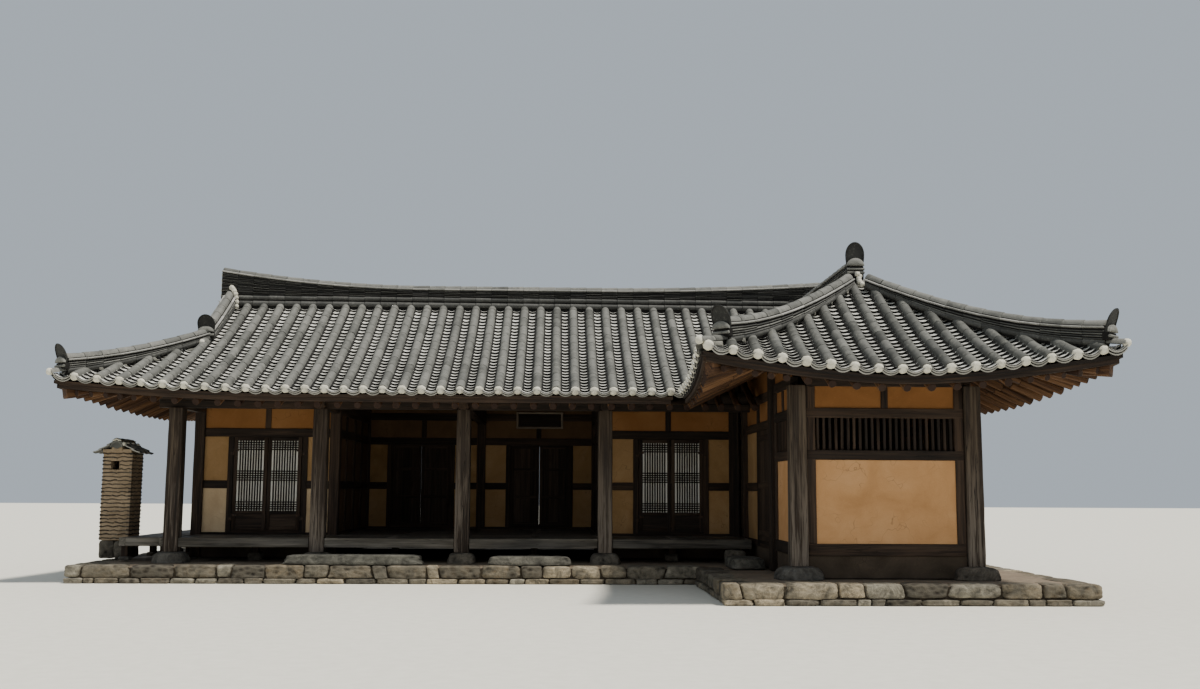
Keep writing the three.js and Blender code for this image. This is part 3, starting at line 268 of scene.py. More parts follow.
class Look:
    """A material with a short way to wire nodes"""

    def __init__(self, name, roughness=0.85):
        self.material = bpy.data.materials.new(name)
        self.material.use_nodes = True
        self.tree = self.material.node_tree
        self.shader = self.tree.nodes["Principled BSDF"]
        self.shader.inputs["Roughness"].default_value = roughness
        self.shader.inputs["Specular IOR Level"].default_value = 0.3

    def feed(self, socket, value):
        if isinstance(value, bpy.types.NodeSocket):
            self.tree.links.new(value, socket)
        else:
            socket.default_value = value

    def node(self, kind, output=0, settings=None, **inputs):
        node = self.tree.nodes.new(kind)
        for key, value in (settings or {}).items():
            setattr(node, key, value)
        for key, value in inputs.items():
            self.feed(node.inputs[{"i0": 0, "i1": 1}.get(key, key)], value)
        return node.outputs[output]

    def grain(self):
        return self.node("ShaderNodeAttribute", "Vector", {"attribute_name": "grain"})

    def tone(self):
        return self.node("ShaderNodeAttribute", "Fac", {"attribute_name": "tone"})

    def scaled(self, vector, x, y, z):
        return self.node("ShaderNodeVectorMath", 0, {"operation": "MULTIPLY"}, i0=vector, i1=(x, y, z))

    def noise(self, vector, scale, detail=4.0, roughness=0.6, distortion=0.0):
        return self.node("ShaderNodeTexNoise", "Fac", Vector=vector, Scale=scale, Detail=detail,
                         Roughness=roughness, Distortion=distortion)

    def cells(self, vector, scale, feature="F1"):
        return self.node("ShaderNodeTexVoronoi", "Distance", {"feature": feature}, Vector=vector, Scale=scale)

    def ramp(self, factor, *stops):
        """Each stop is a place and a grey value or a colour"""
        node = self.tree.nodes.new("ShaderNodeValToRGB")
        self.tree.links.new(factor, node.inputs[0])
        elements = node.color_ramp.elements
        while len(elements) < len(stops):
            elements.new(0.5)
        for element, (place, color) in zip(elements, stops):
            element.position = place
            element.color = (*(color if isinstance(color, tuple) else (color,) * 3), 1)
        return node.outputs[0]

    def mix(self, factor, a, b, blend="MIX"):
        node = self.tree.nodes.new("ShaderNodeMix")
        node.data_type = "RGBA"
        node.blend_type = blend
        for i, value in ((0, factor), (6, a), (7, b)):
            self.feed(node.inputs[i], (*value, 1) if isinstance(value, tuple) else value)
        return node.outputs[2]

    def math(self, operation, a, b):
        return self.node("ShaderNodeMath", 0, {"operation": operation}, i0=a, i1=b)

    def times(self, a, b):
        return self.math("MULTIPLY", a, b)

    def plus(self, a, b):
        return self.math("ADD", a, b)

    def minus(self, a, b):
        return self.math("SUBTRACT", a, b)

    def finish(self, color, height=None, bump=0.4, distance=0.01, roughness=None):
        self.tree.links.new(color, self.shader.inputs["Base Color"])
        if roughness is not None:
            self.tree.links.new(roughness, self.shader.inputs["Roughness"])
        if height is not None:
            normal = self.node("ShaderNodeBump", 0, Height=height, Strength=bump, Distance=distance)
            self.tree.links.new(normal, self.shader.inputs["Normal"])
        return self.material


def shade(color, factor):
    """A darker or paler colour"""
    return tuple(min(1, v * factor) for v in color)


def wood(name, dark, mid, light, crack, worn, roughness=0.82, bleached=0.0):
    """Old timber: streaks and fibres along the grain, drying cracks, grey wear, a tone per timber, and
    a bleached lower end where rain and sun reach it"""
    look = Look(name, roughness)
    grain, tone = look.grain(), look.tone()
    fibres = look.noise(look.scaled(grain, 1.6, 42, 42), 1.0, 5, 0.65, 0.4)
    streaks = look.noise(look.scaled(grain, 0.6, 15, 15), 1.0, 4, 0.6, 0.6)
    broad = look.noise(look.scaled(grain, 0.8, 5, 5), 1.0, 3, 0.5)
    value = look.plus(look.times(fibres, 0.35), look.times(streaks, 0.5))
    value = look.plus(value, look.times(tone, 0.15))
    base = look.ramp(value, (0.38, dark), (0.5, mid), (0.62, light))
    grey = tuple(0.5 * v + 0.5 * sum(light) / 3 for v in light)
    base = look.mix(look.times(look.ramp(broad, (0.45, 0), (0.75, 1)), worn), base, grey)
    if bleached:
        height = look.node("ShaderNodeSeparateXYZ", "Z", Vector=look.node("ShaderNodeTexCoord", "Object"))
        low = look.ramp(look.times(height, 0.35), (0.22, 1), (0.72, 0.08))
        pale = look.ramp(value, (0.47, 0), (0.545, 1))
        base = look.mix(look.times(look.times(low, pale), bleached), base, tuple(v * 2.3 for v in grey))
    splits = look.noise(look.scaled(grain, 0.9, 21, 21), 1.0, 2, 0.4, 0.8)
    line = look.ramp(splits, (0.478, 1), (0.5, 0), (0.522, 1))
    gate = look.ramp(look.noise(look.scaled(grain, 0.9, 2.5, 2.5), 1.0, 2), (0.40, 0), (0.55, 1))
    open_split = look.times(look.minus(1.0, line), look.times(gate, crack))
    base = look.mix(open_split, base, shade(dark, 0.25))
    return look.finish(base, look.minus(look.times(value, 1.2), open_split), 0.7, 0.008)


def clay(name, dark, mid, light, straw=0.5):
    """Clay plaster: soft patches, trowel marks, bits of straw, thin cracks and damp stains"""
    look = Look(name, 0.95)
    grain, tone = look.grain(), look.tone()
    patches = look.noise(grain, 1.7, 5, 0.6, 0.5)
    speckle = look.noise(grain, 55, 3, 0.7)
    base = look.ramp(look.plus(look.times(patches, 0.8), look.times(tone, 0.2)),
                     (0.3, dark), (0.52, mid), (0.75, light))
    base = look.mix(0.35, base, look.ramp(speckle, (0.35, dark), (0.65, light)), "SOFT_LIGHT")
    stalks = look.noise(look.scaled(grain, 30, 30, 150), 1.0, 2, 0.5, 1.5)
    stalk = look.times(look.ramp(stalks, (0.68, 0), (0.74, 1)), straw)
    base = look.mix(stalk, base, shade(light, 1.25))
    split = look.cells(look.node("ShaderNodeVectorMath", 0, {"operation": "ADD"}, i0=grain,
                                 i1=look.node("ShaderNodeTexNoise", "Color", Vector=grain, Scale=3.0)),
                       1.6, "DISTANCE_TO_EDGE")
    crack = look.times(look.ramp(split, (0.0, 1), (0.012, 0)), look.ramp(patches, (0.45, 0), (0.6, 0.7)))
    base = look.mix(crack, base, shade(dark, 0.55))
    height = look.minus(look.plus(look.times(speckle, 0.25), patches), crack)
    return look.finish(base, height, 0.35, 0.01)


LICHEN = (0.42, 0.42, 0.36)


def tile(name, dark, mid, light, growth):
    """Unglazed fired tile: each tile its own tone, with soot, dust and pale lichen"""
    look = Look(name, 0.72)
    grain, tone = look.grain(), look.tone()
    cloud = look.noise(grain, 3.2, 5, 0.65, 0.4)
    fine = look.noise(grain, 60, 3, 0.7)
    base = look.ramp(look.plus(look.times(tone, 0.55), look.times(cloud, 0.45)),
                     (0.2, dark), (0.48, mid), (0.8, light))
    spots = look.noise(grain, 26, 4, 0.75, 0.6)
    patch = look.ramp(look.times(spots, look.plus(cloud, 0.45)), (0.52, 0), (0.66, 1))
    base = look.mix(look.times(patch, growth), base, LICHEN)
    soot = look.ramp(look.noise(grain, 9, 4, 0.6), (0.52, 0), (0.75, 0.55))
    base = look.mix(soot, base, shade(dark, 0.5))
    height = look.plus(look.times(fine, 0.35), look.times(spots, 0.5))
    return look.finish(base, height, 0.35, 0.006, look.ramp(cloud, (0.3, 0.6), (0.7, 0.88)))


def rock(name, tones, chip=1.0):
    """Field stone: one of several tones per stone, with grains, chips and darker hollows"""
    look = Look(name, 0.93)
    grain, tone = look.grain(), look.tone()
    base = look.ramp(tone, *[((i + 0.5) / len(tones), color) for i, color in enumerate(tones)])
    cloud = look.noise(grain, 5.0, 6, 0.7, 0.6)
    base = look.mix(0.9, base, look.ramp(cloud, (0.35, 0.03), (0.5, 0.5), (0.62, 0.98)), "OVERLAY")
    speck = look.noise(grain, 90, 2, 0.6)
    base = look.mix(0.4, base, look.ramp(speck, (0.35, 0.25), (0.65, 0.75)), "OVERLAY")
    chips = look.cells(look.scaled(grain, 1, 1, 1.8), 9.0)
    base = look.mix(look.ramp(chips, (0.1, 0), (0.6, 0.3)), base, tuple(1.6 * v for v in tones[-1]))
    height = look.plus(look.times(cloud, 1.2), look.times(chips, 0.5 * chip))
    return look.finish(base, look.plus(height, look.times(speck, 0.12)), 0.9, 0.035)


def powder(name, dark, light, scale, bump):
    """Earth, lime or mortar: two close tones in fine grains"""
    look = Look(name, 0.97)
    grain = look.grain()
    cloud = look.noise(grain, scale / 4, 5, 0.6, 0.3)
    fine = look.noise(grain, scale * 4, 4, 0.7)
    base = look.ramp(look.plus(look.times(cloud, 0.6), look.times(fine, 0.4)), (0.32, dark), (0.66, light))
    stain = look.ramp(look.noise(grain, scale / 2, 3, 0.7), (0.55, 0), (0.72, 0.6))
    base = look.mix(stain, base, shade(dark, 0.6))
    return look.finish(base, look.plus(cloud, look.times(fine, 0.6)), bump, 0.01)


def paper(name):
    """Mulberry paper: long fibres, sun-yellowed patches"""
    look = Look(name, 0.9)
    grain = look.grain()
    fibre = look.noise(look.scaled(grain, 60, 8, 40), 1.0, 4, 0.7, 2.0)
    patch = look.noise(grain, 2.5, 3, 0.5)
    yellowed = look.ramp(patch, (0.4, 0), (0.7, 0.6))
    white = look.ramp(fibre, (0.35, (0.66, 0.65, 0.60)), (0.65, (0.80, 0.79, 0.74)))
    base = look.mix(yellowed, white, (0.62, 0.58, 0.49))
    return look.finish(base, fibre, 0.15, 0.002)


def iron(name):
    """Old iron, dark with rust"""
    look = Look(name, 0.6)
    rust = look.noise(look.grain(), 40, 5, 0.7)
    base = look.ramp(rust, (0.4, (0.02, 0.018, 0.017)), (0.6, (0.06, 0.035, 0.022)),
                     (0.75, (0.14, 0.06, 0.03)))
    look.shader.inputs["Metallic"].default_value = 0.6
    return look.finish(base, rust, 0.4, 0.002)


# Each has its dark, middle and light colour (a powder has two, a rock as many as it likes), then its
# amounts: cracks and wear of wood, straw in clay, lichen on tile, grain scale and bump of a powder
POST_WOOD = wood("post_wood", (0.010, 0.006, 0.004), (0.029, 0.019, 0.012), (0.085, 0.062, 0.040),
                 1.0, 0.25, bleached=0.7)
DARK_WOOD = wood("dark_wood", (0.006, 0.0035, 0.0022), (0.019, 0.0112, 0.0068), (0.050, 0.030, 0.018),
                 0.6, 0.12)
RAFTER_WOOD = wood("rafter_wood", (0.018, 0.007, 0.003), (0.066, 0.030, 0.012), (0.14, 0.070, 0.030),
                   0.5, 0.1)
FLOOR_WOOD = wood("floor_wood", (0.018, 0.015, 0.011), (0.066, 0.057, 0.044), (0.17, 0.152, 0.124),
                  0.7, 0.4, 0.6)
DOOR_WOOD = wood("door_wood", (0.007, 0.0042, 0.0028), (0.022, 0.0128, 0.008), (0.050, 0.032, 0.020),
                 0.5, 0.12)
BOARD_WOOD = wood("board_wood", (0.10, 0.075, 0.055), (0.20, 0.155, 0.115), (0.34, 0.27, 0.205), 0.4, 0.3)
BAR_WOOD = wood("bar_wood", (0.004, 0.0028, 0.002), (0.009, 0.006, 0.004), (0.022, 0.015, 0.010), 0.3, 0.1)
OCHRE_CLAY = clay("ochre_clay", (0.23, 0.145, 0.062), (0.32, 0.207, 0.10), (0.40, 0.275, 0.145))
PALE_CLAY = clay("pale_clay", (0.34, 0.255, 0.155), (0.45, 0.345, 0.225), (0.55, 0.44, 0.30))
PEACH_CLAY = clay("peach_clay", (0.36, 0.205, 0.09), (0.46, 0.275, 0.135), (0.54, 0.345, 0.19), 0.3)
ORANGE_CLAY = clay("orange_clay", (0.19, 0.088, 0.026), (0.25, 0.123, 0.040), (0.30, 0.16, 0.062))
# Darker clay for the walls inside the open hall: painted shade of the deep hall
HALL_SHADE_CLAY = clay("hall_clay_painted_shade", (0.085, 0.05, 0.024), (0.125, 0.075, 0.038), (0.17, 0.105, 0.056))
# Dark clay for the walls' feet under the floor: painted shadow
FOOT_SHADE_CLAY = clay("foot_clay_painted_shade", (0.04, 0.03, 0.02), (0.08, 0.06, 0.042), (0.13, 0.10, 0.07))
ROOF_TILE = tile("roof_tile", (0.045, 0.046, 0.041), (0.125, 0.125, 0.113), (0.185, 0.183, 0.166), 0.2)
# Much paler than the cover tiles of the same clay: partly the tile's grey, partly painted light on the pans'
# lit tops
LIT_PAN_TILE = tile("pan_tile_painted_light", (0.22, 0.218, 0.20), (0.44, 0.435, 0.40), (0.68, 0.67, 0.62), 0.2)
# Paler than the tiles it edges: painted highlight on lit edges, at the eaves, under the ridges' top rows and
# round the chimney cap
LIT_PAN_EDGE = tile("pan_edge_painted_highlight", (0.15, 0.15, 0.135), (0.25, 0.245, 0.225), (0.36, 0.35, 0.325), 0.3)
# Darker than the same half-round tiles on top: painted shade of the rolls' undersides and of the ridges'
# lower courses
SHADED_ROLL_TILE = tile("roll_tile_painted_shade", (0.035, 0.035, 0.032), (0.06, 0.06, 0.055), (0.095, 0.094, 0.087), 0.15)
# Far darker than the roof's tiles: painted shade on the ridges' upright courses; the end tiles use it too
SHADED_RIDGE_TILE = tile("ridge_tile_painted_shade", (0.012, 0.012, 0.011), (0.028, 0.028, 0.026), (0.07, 0.069, 0.064), 0.1)
LIME = powder("lime_mortar", (0.40, 0.38, 0.30), (0.74, 0.715, 0.61), 24, 0.6)
# Near-black, far darker than clay: painted shade under and between the tiles and inside the ridges
BED_SHADE_CLAY = powder("bed_clay_painted_shade", (0.004, 0.004, 0.0035), (0.014, 0.0125, 0.011), 18, 0.5)
SOFFIT_CLAY = powder("soffit_clay", (0.06, 0.036, 0.02), (0.13, 0.085, 0.05), 10, 0.35)
TERRACE_STONE = rock("terrace_stone", [(0.017, 0.013, 0.009), (0.115, 0.092, 0.06), (0.034, 0.031, 0.026),
                                       (0.28, 0.23, 0.155), (0.042, 0.029, 0.015), (0.155, 0.14, 0.108)])
BASE_STONE = rock("base_stone", [(0.06, 0.055, 0.044), (0.09, 0.078, 0.06), (0.062, 0.06, 0.054),
                                 (0.075, 0.064, 0.05)])
STEP_STONE = rock("step_stone", [(0.056, 0.055, 0.046), (0.09, 0.084, 0.068), (0.066, 0.063, 0.053)], 0.8)
# Near-black earth behind the edging stones: painted shade in the joints between them
JOINT_SHADE_EARTH = powder("joint_earth_painted_shade", (0.018, 0.014, 0.009), (0.06, 0.046, 0.03), 14, 0.6)
EARTH = powder("packed_earth", (0.11, 0.085, 0.06), (0.24, 0.19, 0.135), 12, 0.5)
CHIMNEY_MORTAR = powder("chimney_mortar", (0.155, 0.112, 0.068), (0.36, 0.275, 0.18), 16, 0.6)
CHIMNEY_TILE = tile("chimney_tile", (0.012, 0.009, 0.006), (0.034, 0.025, 0.017), (0.08, 0.062, 0.042), 0.2)
# Near-black: painted shade, in the gaps under the pans' front edges and in the open joints between cover
# tiles
SHADE_GAP_TILE = tile("tile_gap_painted_shade", (0.001, 0.001, 0.001), (0.003, 0.003, 0.0027), (0.006, 0.006, 0.0055), 0.0)
PAPER = paper("door_paper")
IRON = iron("old_iron")


# ---- Roof faces ----

EAVE_FRONT, EAVE_BACK, EAVE_LEFT, EAVE_RIGHT = -1.18, 6.04, -1.42, 13.74
EAVE_WING_LEFT, EAVE_WING_FRONT = 8.33, -4.73
SIDE = 1.19                  # the wing's and the side slopes are steeper by this ratio
RIDGE_Y, WING_RIDGE_X = (EAVE_FRONT + EAVE_BACK) / 2, (EAVE_WING_LEFT + EAVE_RIGHT) / 2
GABLE_Q, APEX_Q, RIDGE_Q = -SIDE * EAVE_LEFT, SIDE * (WING_RIDGE_X - EAVE_WING_LEFT), 3.61
HIP_Y, BACK_HIP_Y = EAVE_FRONT + GABLE_Q, 2 * RIDGE_Y - (EAVE_FRONT + GABLE_Q)
APEX_Y = EAVE_WING_FRONT + APEX_Q / SIDE
ROW = 0.309                  # from one row of cover tiles to the next
# Each corner's place, the way out, and how far it is drawn out and lifted
CORNERS = [(EAVE_LEFT, EAVE_FRONT, -1, -1, 0.22, 0.19), (EAVE_LEFT, EAVE_BACK, -1, 1, 0.22, 0.19),
           (EAVE_RIGHT, EAVE_BACK, 1, 1, 0.22, 0.30), (EAVE_RIGHT, EAVE_WING_FRONT, 1, -1, 0.22, 0.36),
           (EAVE_WING_LEFT, EAVE_WING_FRONT, -1, -1, 0.15, 0.35)]
SWEEP = 3.5                  # how far from a corner the eaves curve
EAVE_Z, SLOPE, HOLLOW = 3.07, 0.42, 0.031        # height of the tiles at the eave, and how they rise
BOARDS_Z, BOARDS_Q, RAFTER_Q = 2.915, 0.18, 0.17  # where the roof boards and the rafters begin
COVER_RADIUS, PITCH, PAN_PITCH = 0.075, 0.34, 0.128     # of the cover tiles, and of the pans
ARC = 9                      # points round a half-round tile

ROOF_LOOK = [ROOF_TILE, LIT_PAN_TILE, LIT_PAN_EDGE, LIME, RAFTER_WOOD, BED_SHADE_CLAY, SOFFIT_CLAY, DARK_WOOD, SHADE_GAP_TILE]
COVER, LIT_PAN, LIT_EDGE, LIMED, RAFTER, BED_SHADE, SOFFIT, FASCIA, GAP_SHADE = range(9)


def tile_height(q):
    """Where the tiles lie, a place up the slope, before the eaves' sweep"""
    return EAVE_Z + SLOPE * q + HOLLOW * q * q


def board_height(q):
    """Underside of the roof boards, which lie on the rafters"""
    return BOARDS_Z + SLOPE * (q - BOARDS_Q)


def swept(p):
    """Points moved with the upward sweep of the eaves near each corner"""
    p = np.array(p, float)
    x, y = p[..., 0].copy(), p[..., 1].copy()
    for cx, cy, ox, oy, spread, lift in CORNERS:
        weight = np.maximum(0, 1 - abs(x - cx) / SWEEP) ** 2 * np.maximum(0, 1 - abs(y - cy) / SWEEP) ** 2
        p += weight[..., None] * [ox * spread, oy * spread, lift]
    return p


class Face:
    """A slope: s is a place along its eave and q a place up the slope. Each patch runs from one q to
    another, between two lines that give s for a q"""

    def __init__(self, axis, eave, up, ratio, low, high, phase, *patches):
        self.axis, self.eave, self.up, self.ratio = axis, eave, up, ratio
        self.low, self.high, self.phase, self.patches = low, high, phase, patches
        self.turned = (axis == "x") == (up > 0)

    def at(self, s, q, height=tile_height):
        s, q = np.broadcast_arrays(np.asarray(s, float), np.asarray(q, float))
        across = self.eave + self.up * q / self.ratio
        return swept(np.stack([s, across, height(q)] if self.axis == "x" else [across, s, height(q)], -1))

    def facing(self, faces):
        """Faces that point out of the slope"""
        return faces if self.turned else faces[:, ::-1]

    def runs(self, s):
        """Stretches up the slope that lie on this face"""
        q = np.arange(0, RIDGE_Q + 0.005, 0.01)
        inside = np.zeros(len(q), bool)
        for start, end, a, b in self.patches:
            edges = np.array([(a(v), b(v)) for v in q])
            inside |= (q >= start) & (q <= end) & (s >= edges[:, 0]) & (s <= edges[:, 1])
        marks = np.flatnonzero(np.diff(np.concatenate([[0], inside.astype(int), [0]])))
        return [(q[a], q[b - 1]) for a, b in zip(marks[::2], marks[1::2])]

    def rows(self, shift=0.0):
        """Row centres with their first and last place up the slope"""
        return [(s, q0, q1) for s in np.arange(self.low + self.phase + shift, self.high, ROW)
                for q0, q1 in self.runs(s) if q1 - q0 > 0.12]

    def frame(self, s, q):
        """Point on the face with unit vectors along the eave, up the slope and out of it"""
        s, q, e = np.asarray(s), np.asarray(q), 0.02
        along = unit(self.at(s + e, q) - self.at(s - e, q))
        upward = unit(self.at(s, q + e) - self.at(s, q - e))
        out = unit(np.cross(along, upward))
        return self.at(s, q), along, upward, out * np.where(out[..., 2:] < 0, -1.0, 1.0)


def rising(start, sign=1, ratio=SIDE, most=9.0):
    """Line that moves in from a corner as a slope rises, up to a height"""
    return lambda q: start + sign * min(q, most) / ratio


FACES = {
    "main_roof_front": Face(
        "x", EAVE_FRONT, 1, 1, EAVE_LEFT, X_RIGHT, 0.05,
        (0, APEX_Q, rising(EAVE_LEFT, most=GABLE_Q), rising(EAVE_WING_LEFT)),
        (APEX_Q, RIDGE_Q, lambda q: 0.0, lambda q: X_RIGHT),
        (GABLE_Q, APEX_Q, rising(EAVE_RIGHT, -1), lambda q: X_RIGHT)),
    "main_roof_back": Face(
        "x", EAVE_BACK, -1, 1, EAVE_LEFT, EAVE_RIGHT, 0.05,
        (0, RIDGE_Q, rising(EAVE_LEFT, most=GABLE_Q), rising(EAVE_RIGHT, -1, most=GABLE_Q))),
    "left_roof_skirt": Face(
        "y", EAVE_LEFT, 1, SIDE, EAVE_FRONT, EAVE_BACK, 0.1,
        (0, GABLE_Q, rising(EAVE_FRONT, 1, 1), rising(EAVE_BACK, -1, 1))),
    "right_roof": Face(
        "y", EAVE_RIGHT, -1, SIDE, EAVE_WING_FRONT, EAVE_BACK, 0.1,
        (0, GABLE_Q, rising(EAVE_WING_FRONT), rising(EAVE_BACK, -1, 1)),
        (GABLE_Q, APEX_Q, rising(EAVE_WING_FRONT), rising(EAVE_FRONT, 1, 1))),
    "wing_roof_left": Face(
        "y", EAVE_WING_LEFT, 1, SIDE, EAVE_WING_FRONT, EAVE_FRONT + APEX_Q, 0.1,
        (0, APEX_Q, rising(EAVE_WING_FRONT), rising(EAVE_FRONT, 1, 1))),
    "wing_roof_front": Face(
        "x", EAVE_WING_FRONT, 1, SIDE, EAVE_WING_LEFT, EAVE_RIGHT, 0.15,
        (0, APEX_Q, rising(EAVE_WING_LEFT), rising(EAVE_RIGHT, -1))),
}


def cover_tiles(soup, face, s, q0, q1, darker):
    """Half-round tiles in rows up the slope, from arrays of their places, with an open joint above each,
    painted near-black as shade
    """
    angle = np.linspace(0, math.pi, ARC)
    n = len(s)
    s = s + jitter(0.003, n)
    lift = jitter(0.002, n)
    # darker lowers every tile's tone: painted shade
    tone = rng.normal(0.5, 0.13, n) - darker
    offset = rng.uniform(0, 30, (n, 1, 3))
    rings = []
    for q, size in ((q0, 0.95), (q0 + 0.008, 1.0), (q1 - 0.016, 0.985), (q1 - 0.016, 0.84),
                    (q1 + 0.02, 0.84)):
        p, along, _, out = face.frame(s, q)
        reach = COVER_RADIUS * size * (1 + 0.012 * jitter(1, n))
        u = np.cos(angle)[None, :, None] * along[:, None] * reach[:, None, None]
        v = np.sin(angle)[None, :, None] * out[:, None] * reach[:, None, None]
        rings.append(p[:, None] + u + v + out[:, None] * (lift[:, None, None] + 0.018))
    points = np.stack(rings, 1)
    ids = np.arange(points[..., 0].size).reshape(points.shape[:3])
    strips = quads(ids)
    blocks = [strips[:, :-1].reshape(-1, 4), ids[:, 0][:, fan(ARC)[:, [0, 2, 1]]].reshape(-1, 3),
              strips[:, -1].reshape(-1, 4)]
    soup.add(points, [face.facing(block) for block in blocks], [COVER, COVER, GAP_SHADE],
             points.reshape(n, -1, 3) + offset, np.repeat(tone, ids[0].size))


def pan_tiles(soup, face, s, q0, q1, width=0.2, drop=0.045, thick=0.040, sink=0.05, slots=(GAP_SHADE, LIT_PAN, LIT_PAN)):
    """Hollow tiles between the rows, each lying on the one below: its front edge is painted near-black as the
    shadow under it, its top in the pale pan colour as painted light
    """
    u = np.linspace(-0.5, 0.5, 7)
    n = len(s)
    tone = np.clip(rng.normal(0.5, 0.16, n), 0, 1)
    tilt = jitter(0.0025, n)
    sunk = (4 * u * u * drop)[None, :, None] - sink
    lines = []
    for q, rise in ((q0 + 0.004, -0.010), (q0, thick - 0.006), (q0 + 0.004, thick - 0.003),
                    (q1 + 0.012, -0.004)):
        p, along, _, out = face.frame(s, q)
        base = p[:, None] + along[:, None] * (u * width)[None, :, None]
        lines.append(base + out[:, None] * (sunk + rise + tilt[:, None, None]))
    points = np.stack(lines, 1)
    ids = np.arange(points[..., 0].size).reshape(points.shape[:3])
    offset = rng.uniform(0, 30, (n, 1, 3))
    strips = [face.facing(quads(ids)[:, i].reshape(-1, 4)) for i in range(3)]
    soup.add(points, strips, list(slots), points.reshape(n, -1, 3) + offset, np.repeat(tone, ids[0].size))


def tiled(soup, face, darker):
    """All of a face's tiles, with the lime and clay that hold them"""
    tiles, pans, eaves = [], [], []
    for place, low, high in face.rows():
        low = max(low, 0.05)
        cuts = [low, *np.arange(PITCH * math.ceil((low + 0.12) / PITCH), high - 0.08, PITCH), high]
        tiles += [(place, a, b) for a, b in zip(cuts[:-1], cuts[1:])]
    cover_tiles(soup, face, *np.array(tiles).T, darker)
    for place, low, high in face.rows(-ROW / 2):
        first = max(low - 0.05, 0.012)
        if low < 0.05:
            eaves.append(place)
        cuts = np.arange(PAN_PITCH * math.ceil((first + 0.05) / PAN_PITCH), high - 0.01, PAN_PITCH)
        pans += [(place, q) for q in (first, *cuts)]
    s, q0 = np.array(pans).T
    pan_tiles(soup, face, s + jitter(0.002, len(s)), q0, q0 + PAN_PITCH)
    # Two thick edges show along the eaves, their fronts painted pale as lit edges and their tops in the
    # darker cover colour, and lime balls fill the ends of the cover rows
    for front, sink in ((0.008, 0.038), (0.026, 0.076)):
        at = np.full(len(eaves), front)
        pan_tiles(soup, face, np.array(eaves), at, at + 0.1, 0.26, 0.066, 0.015, sink, (LIT_EDGE, LIT_EDGE, COVER))
    for place, low, high in face.rows():
        if high > low + 0.3:
            shaded_clay_bed(soup, face, place, max(low, 0.1), high - 0.02)
        if low < 0.05:
            lime_ball(soup, face, place, 0.045)


def shaded_clay_bed(soup, face, s, q0, q1):
    """Near-black clay that a row of cover tiles is bedded in, showing along both sides of the row: painted
    shade in the gaps beside the covers
    """
    q = np.linspace(q0, q1, max(2, math.ceil((q1 - q0) / 0.4)) + 1)
    p, along, _, out = face.frame(np.full(len(q), s), q)
    section = [(-0.100, -0.035), (-0.092, 0.014), (0.092, 0.014), (0.100, -0.035)]
    rings = np.stack([p + along * (u + jitter(0.004)) + out * v
                      for u, v in (section if face.turned else section[::-1])], 1)
    soup.add(rings, tube_faces(len(q), 4), BED_SHADE)


def lumpy(shape, scale, rough):
    """Uneven ball"""
    return unit(shape[0]) * (1 + rough * ripple(shape[0] * 2 + rng.uniform(0, 50), scale)[:, None])


def lime_ball(soup, face, s, q):
    """Lime that closes the low end of a row of cover tiles"""
    p, along, upward, out = (v[0] for v in face.frame(np.array([s]), np.array([q])))
    local = lumpy(CUBE, 2.4, 0.09) * [1.0, 0.6, 0.97] * 0.072 * rng.uniform(0.90, 1.06)
    mirrored = np.linalg.det(np.array([along, upward, out])) < 0
    world = p + local[:, :1] * along + local[:, 1:2] * upward + (local[:, 2:] + 0.012) * out
    soup.add(world, CUBE[1][:, ::-1] if mirrored else CUBE[1], LIMED, world, rng.uniform())


def face_layer(soup, face, height, slot, first, flip=False):
    """One surface over all of a face's patches, at a height above or below the tiles"""
    for start, end, a, b in face.patches:
        start = max(start, first)
        rows = max(2, math.ceil((end - start) / 0.22))
        cols = max(2, math.ceil((b(start) - a(start)) / 0.35))
        q = np.linspace(start, end, rows + 1)
        s = np.array([[a(v) + (b(v) - a(v)) * w for w in np.linspace(0, 1, cols + 1)] for v in q])
        sheet(soup, face.at(s, q[:, None], height), slot, flip=face.turned == flip)


def eave_edge(soup, face, low, high, q0, q1, z0, z1):
    """Board along the eave, following its sweep, between two places up the slope and two heights"""
    s = np.linspace(low, high, max(2, math.ceil((high - low) / 0.25)) + 1)
    corners = [(q0, z0), (q1, z0), (q1, z1), (q0, z1)]
    rings = np.stack([face.at(s, q, lambda v, z=z: np.full(v.shape, z)) for q, z in corners], 1)
    grain = [[(place, *corner) for corner in corners] for place in s]
    soup.add(rings[:, ::-1] if face.turned else rings, tube_faces(len(s), 4), FASCIA, grain, rng.uniform())


def rafter(soup, a, b, radius):
    """Round rafter whose sawn end shows dark"""
    log(soup, a, b, radius, RAFTER, 8, step=9, bevel=0.008, end_tone=-1.2)


def straight_rafters(soup, face, low, high, over_hall, elsewhere):
    """Round rafters below the boards, each from just inside the eave up to its reach"""
    radius, spacing = 0.058, 0.31
    for s in np.linspace(low, high, max(1, round((high - low) / spacing)) + 1):
        s += jitter(0.01)
        end = over_hall if X_HALL < s < X_RIGHT_ROOM else elsewhere
        stops = [RAFTER_Q + jitter(0.01), *[q for q in (0.7, 1.4) if q < end - 0.3], end]
        foot = face.at(s, 0.0)
        curved = any(max(abs(foot[0] - c[0]), abs(foot[1] - c[1])) < SWEEP for c in CORNERS)
        stops = stops if curved else [stops[0], stops[-1]]
        points = [face.at(s, q, board_height) - UP * radius for q in stops]
        for a, b in zip(points[:-1], points[1:]):
            rafter(soup, a, b, radius * rng.uniform(0.93, 1.05))


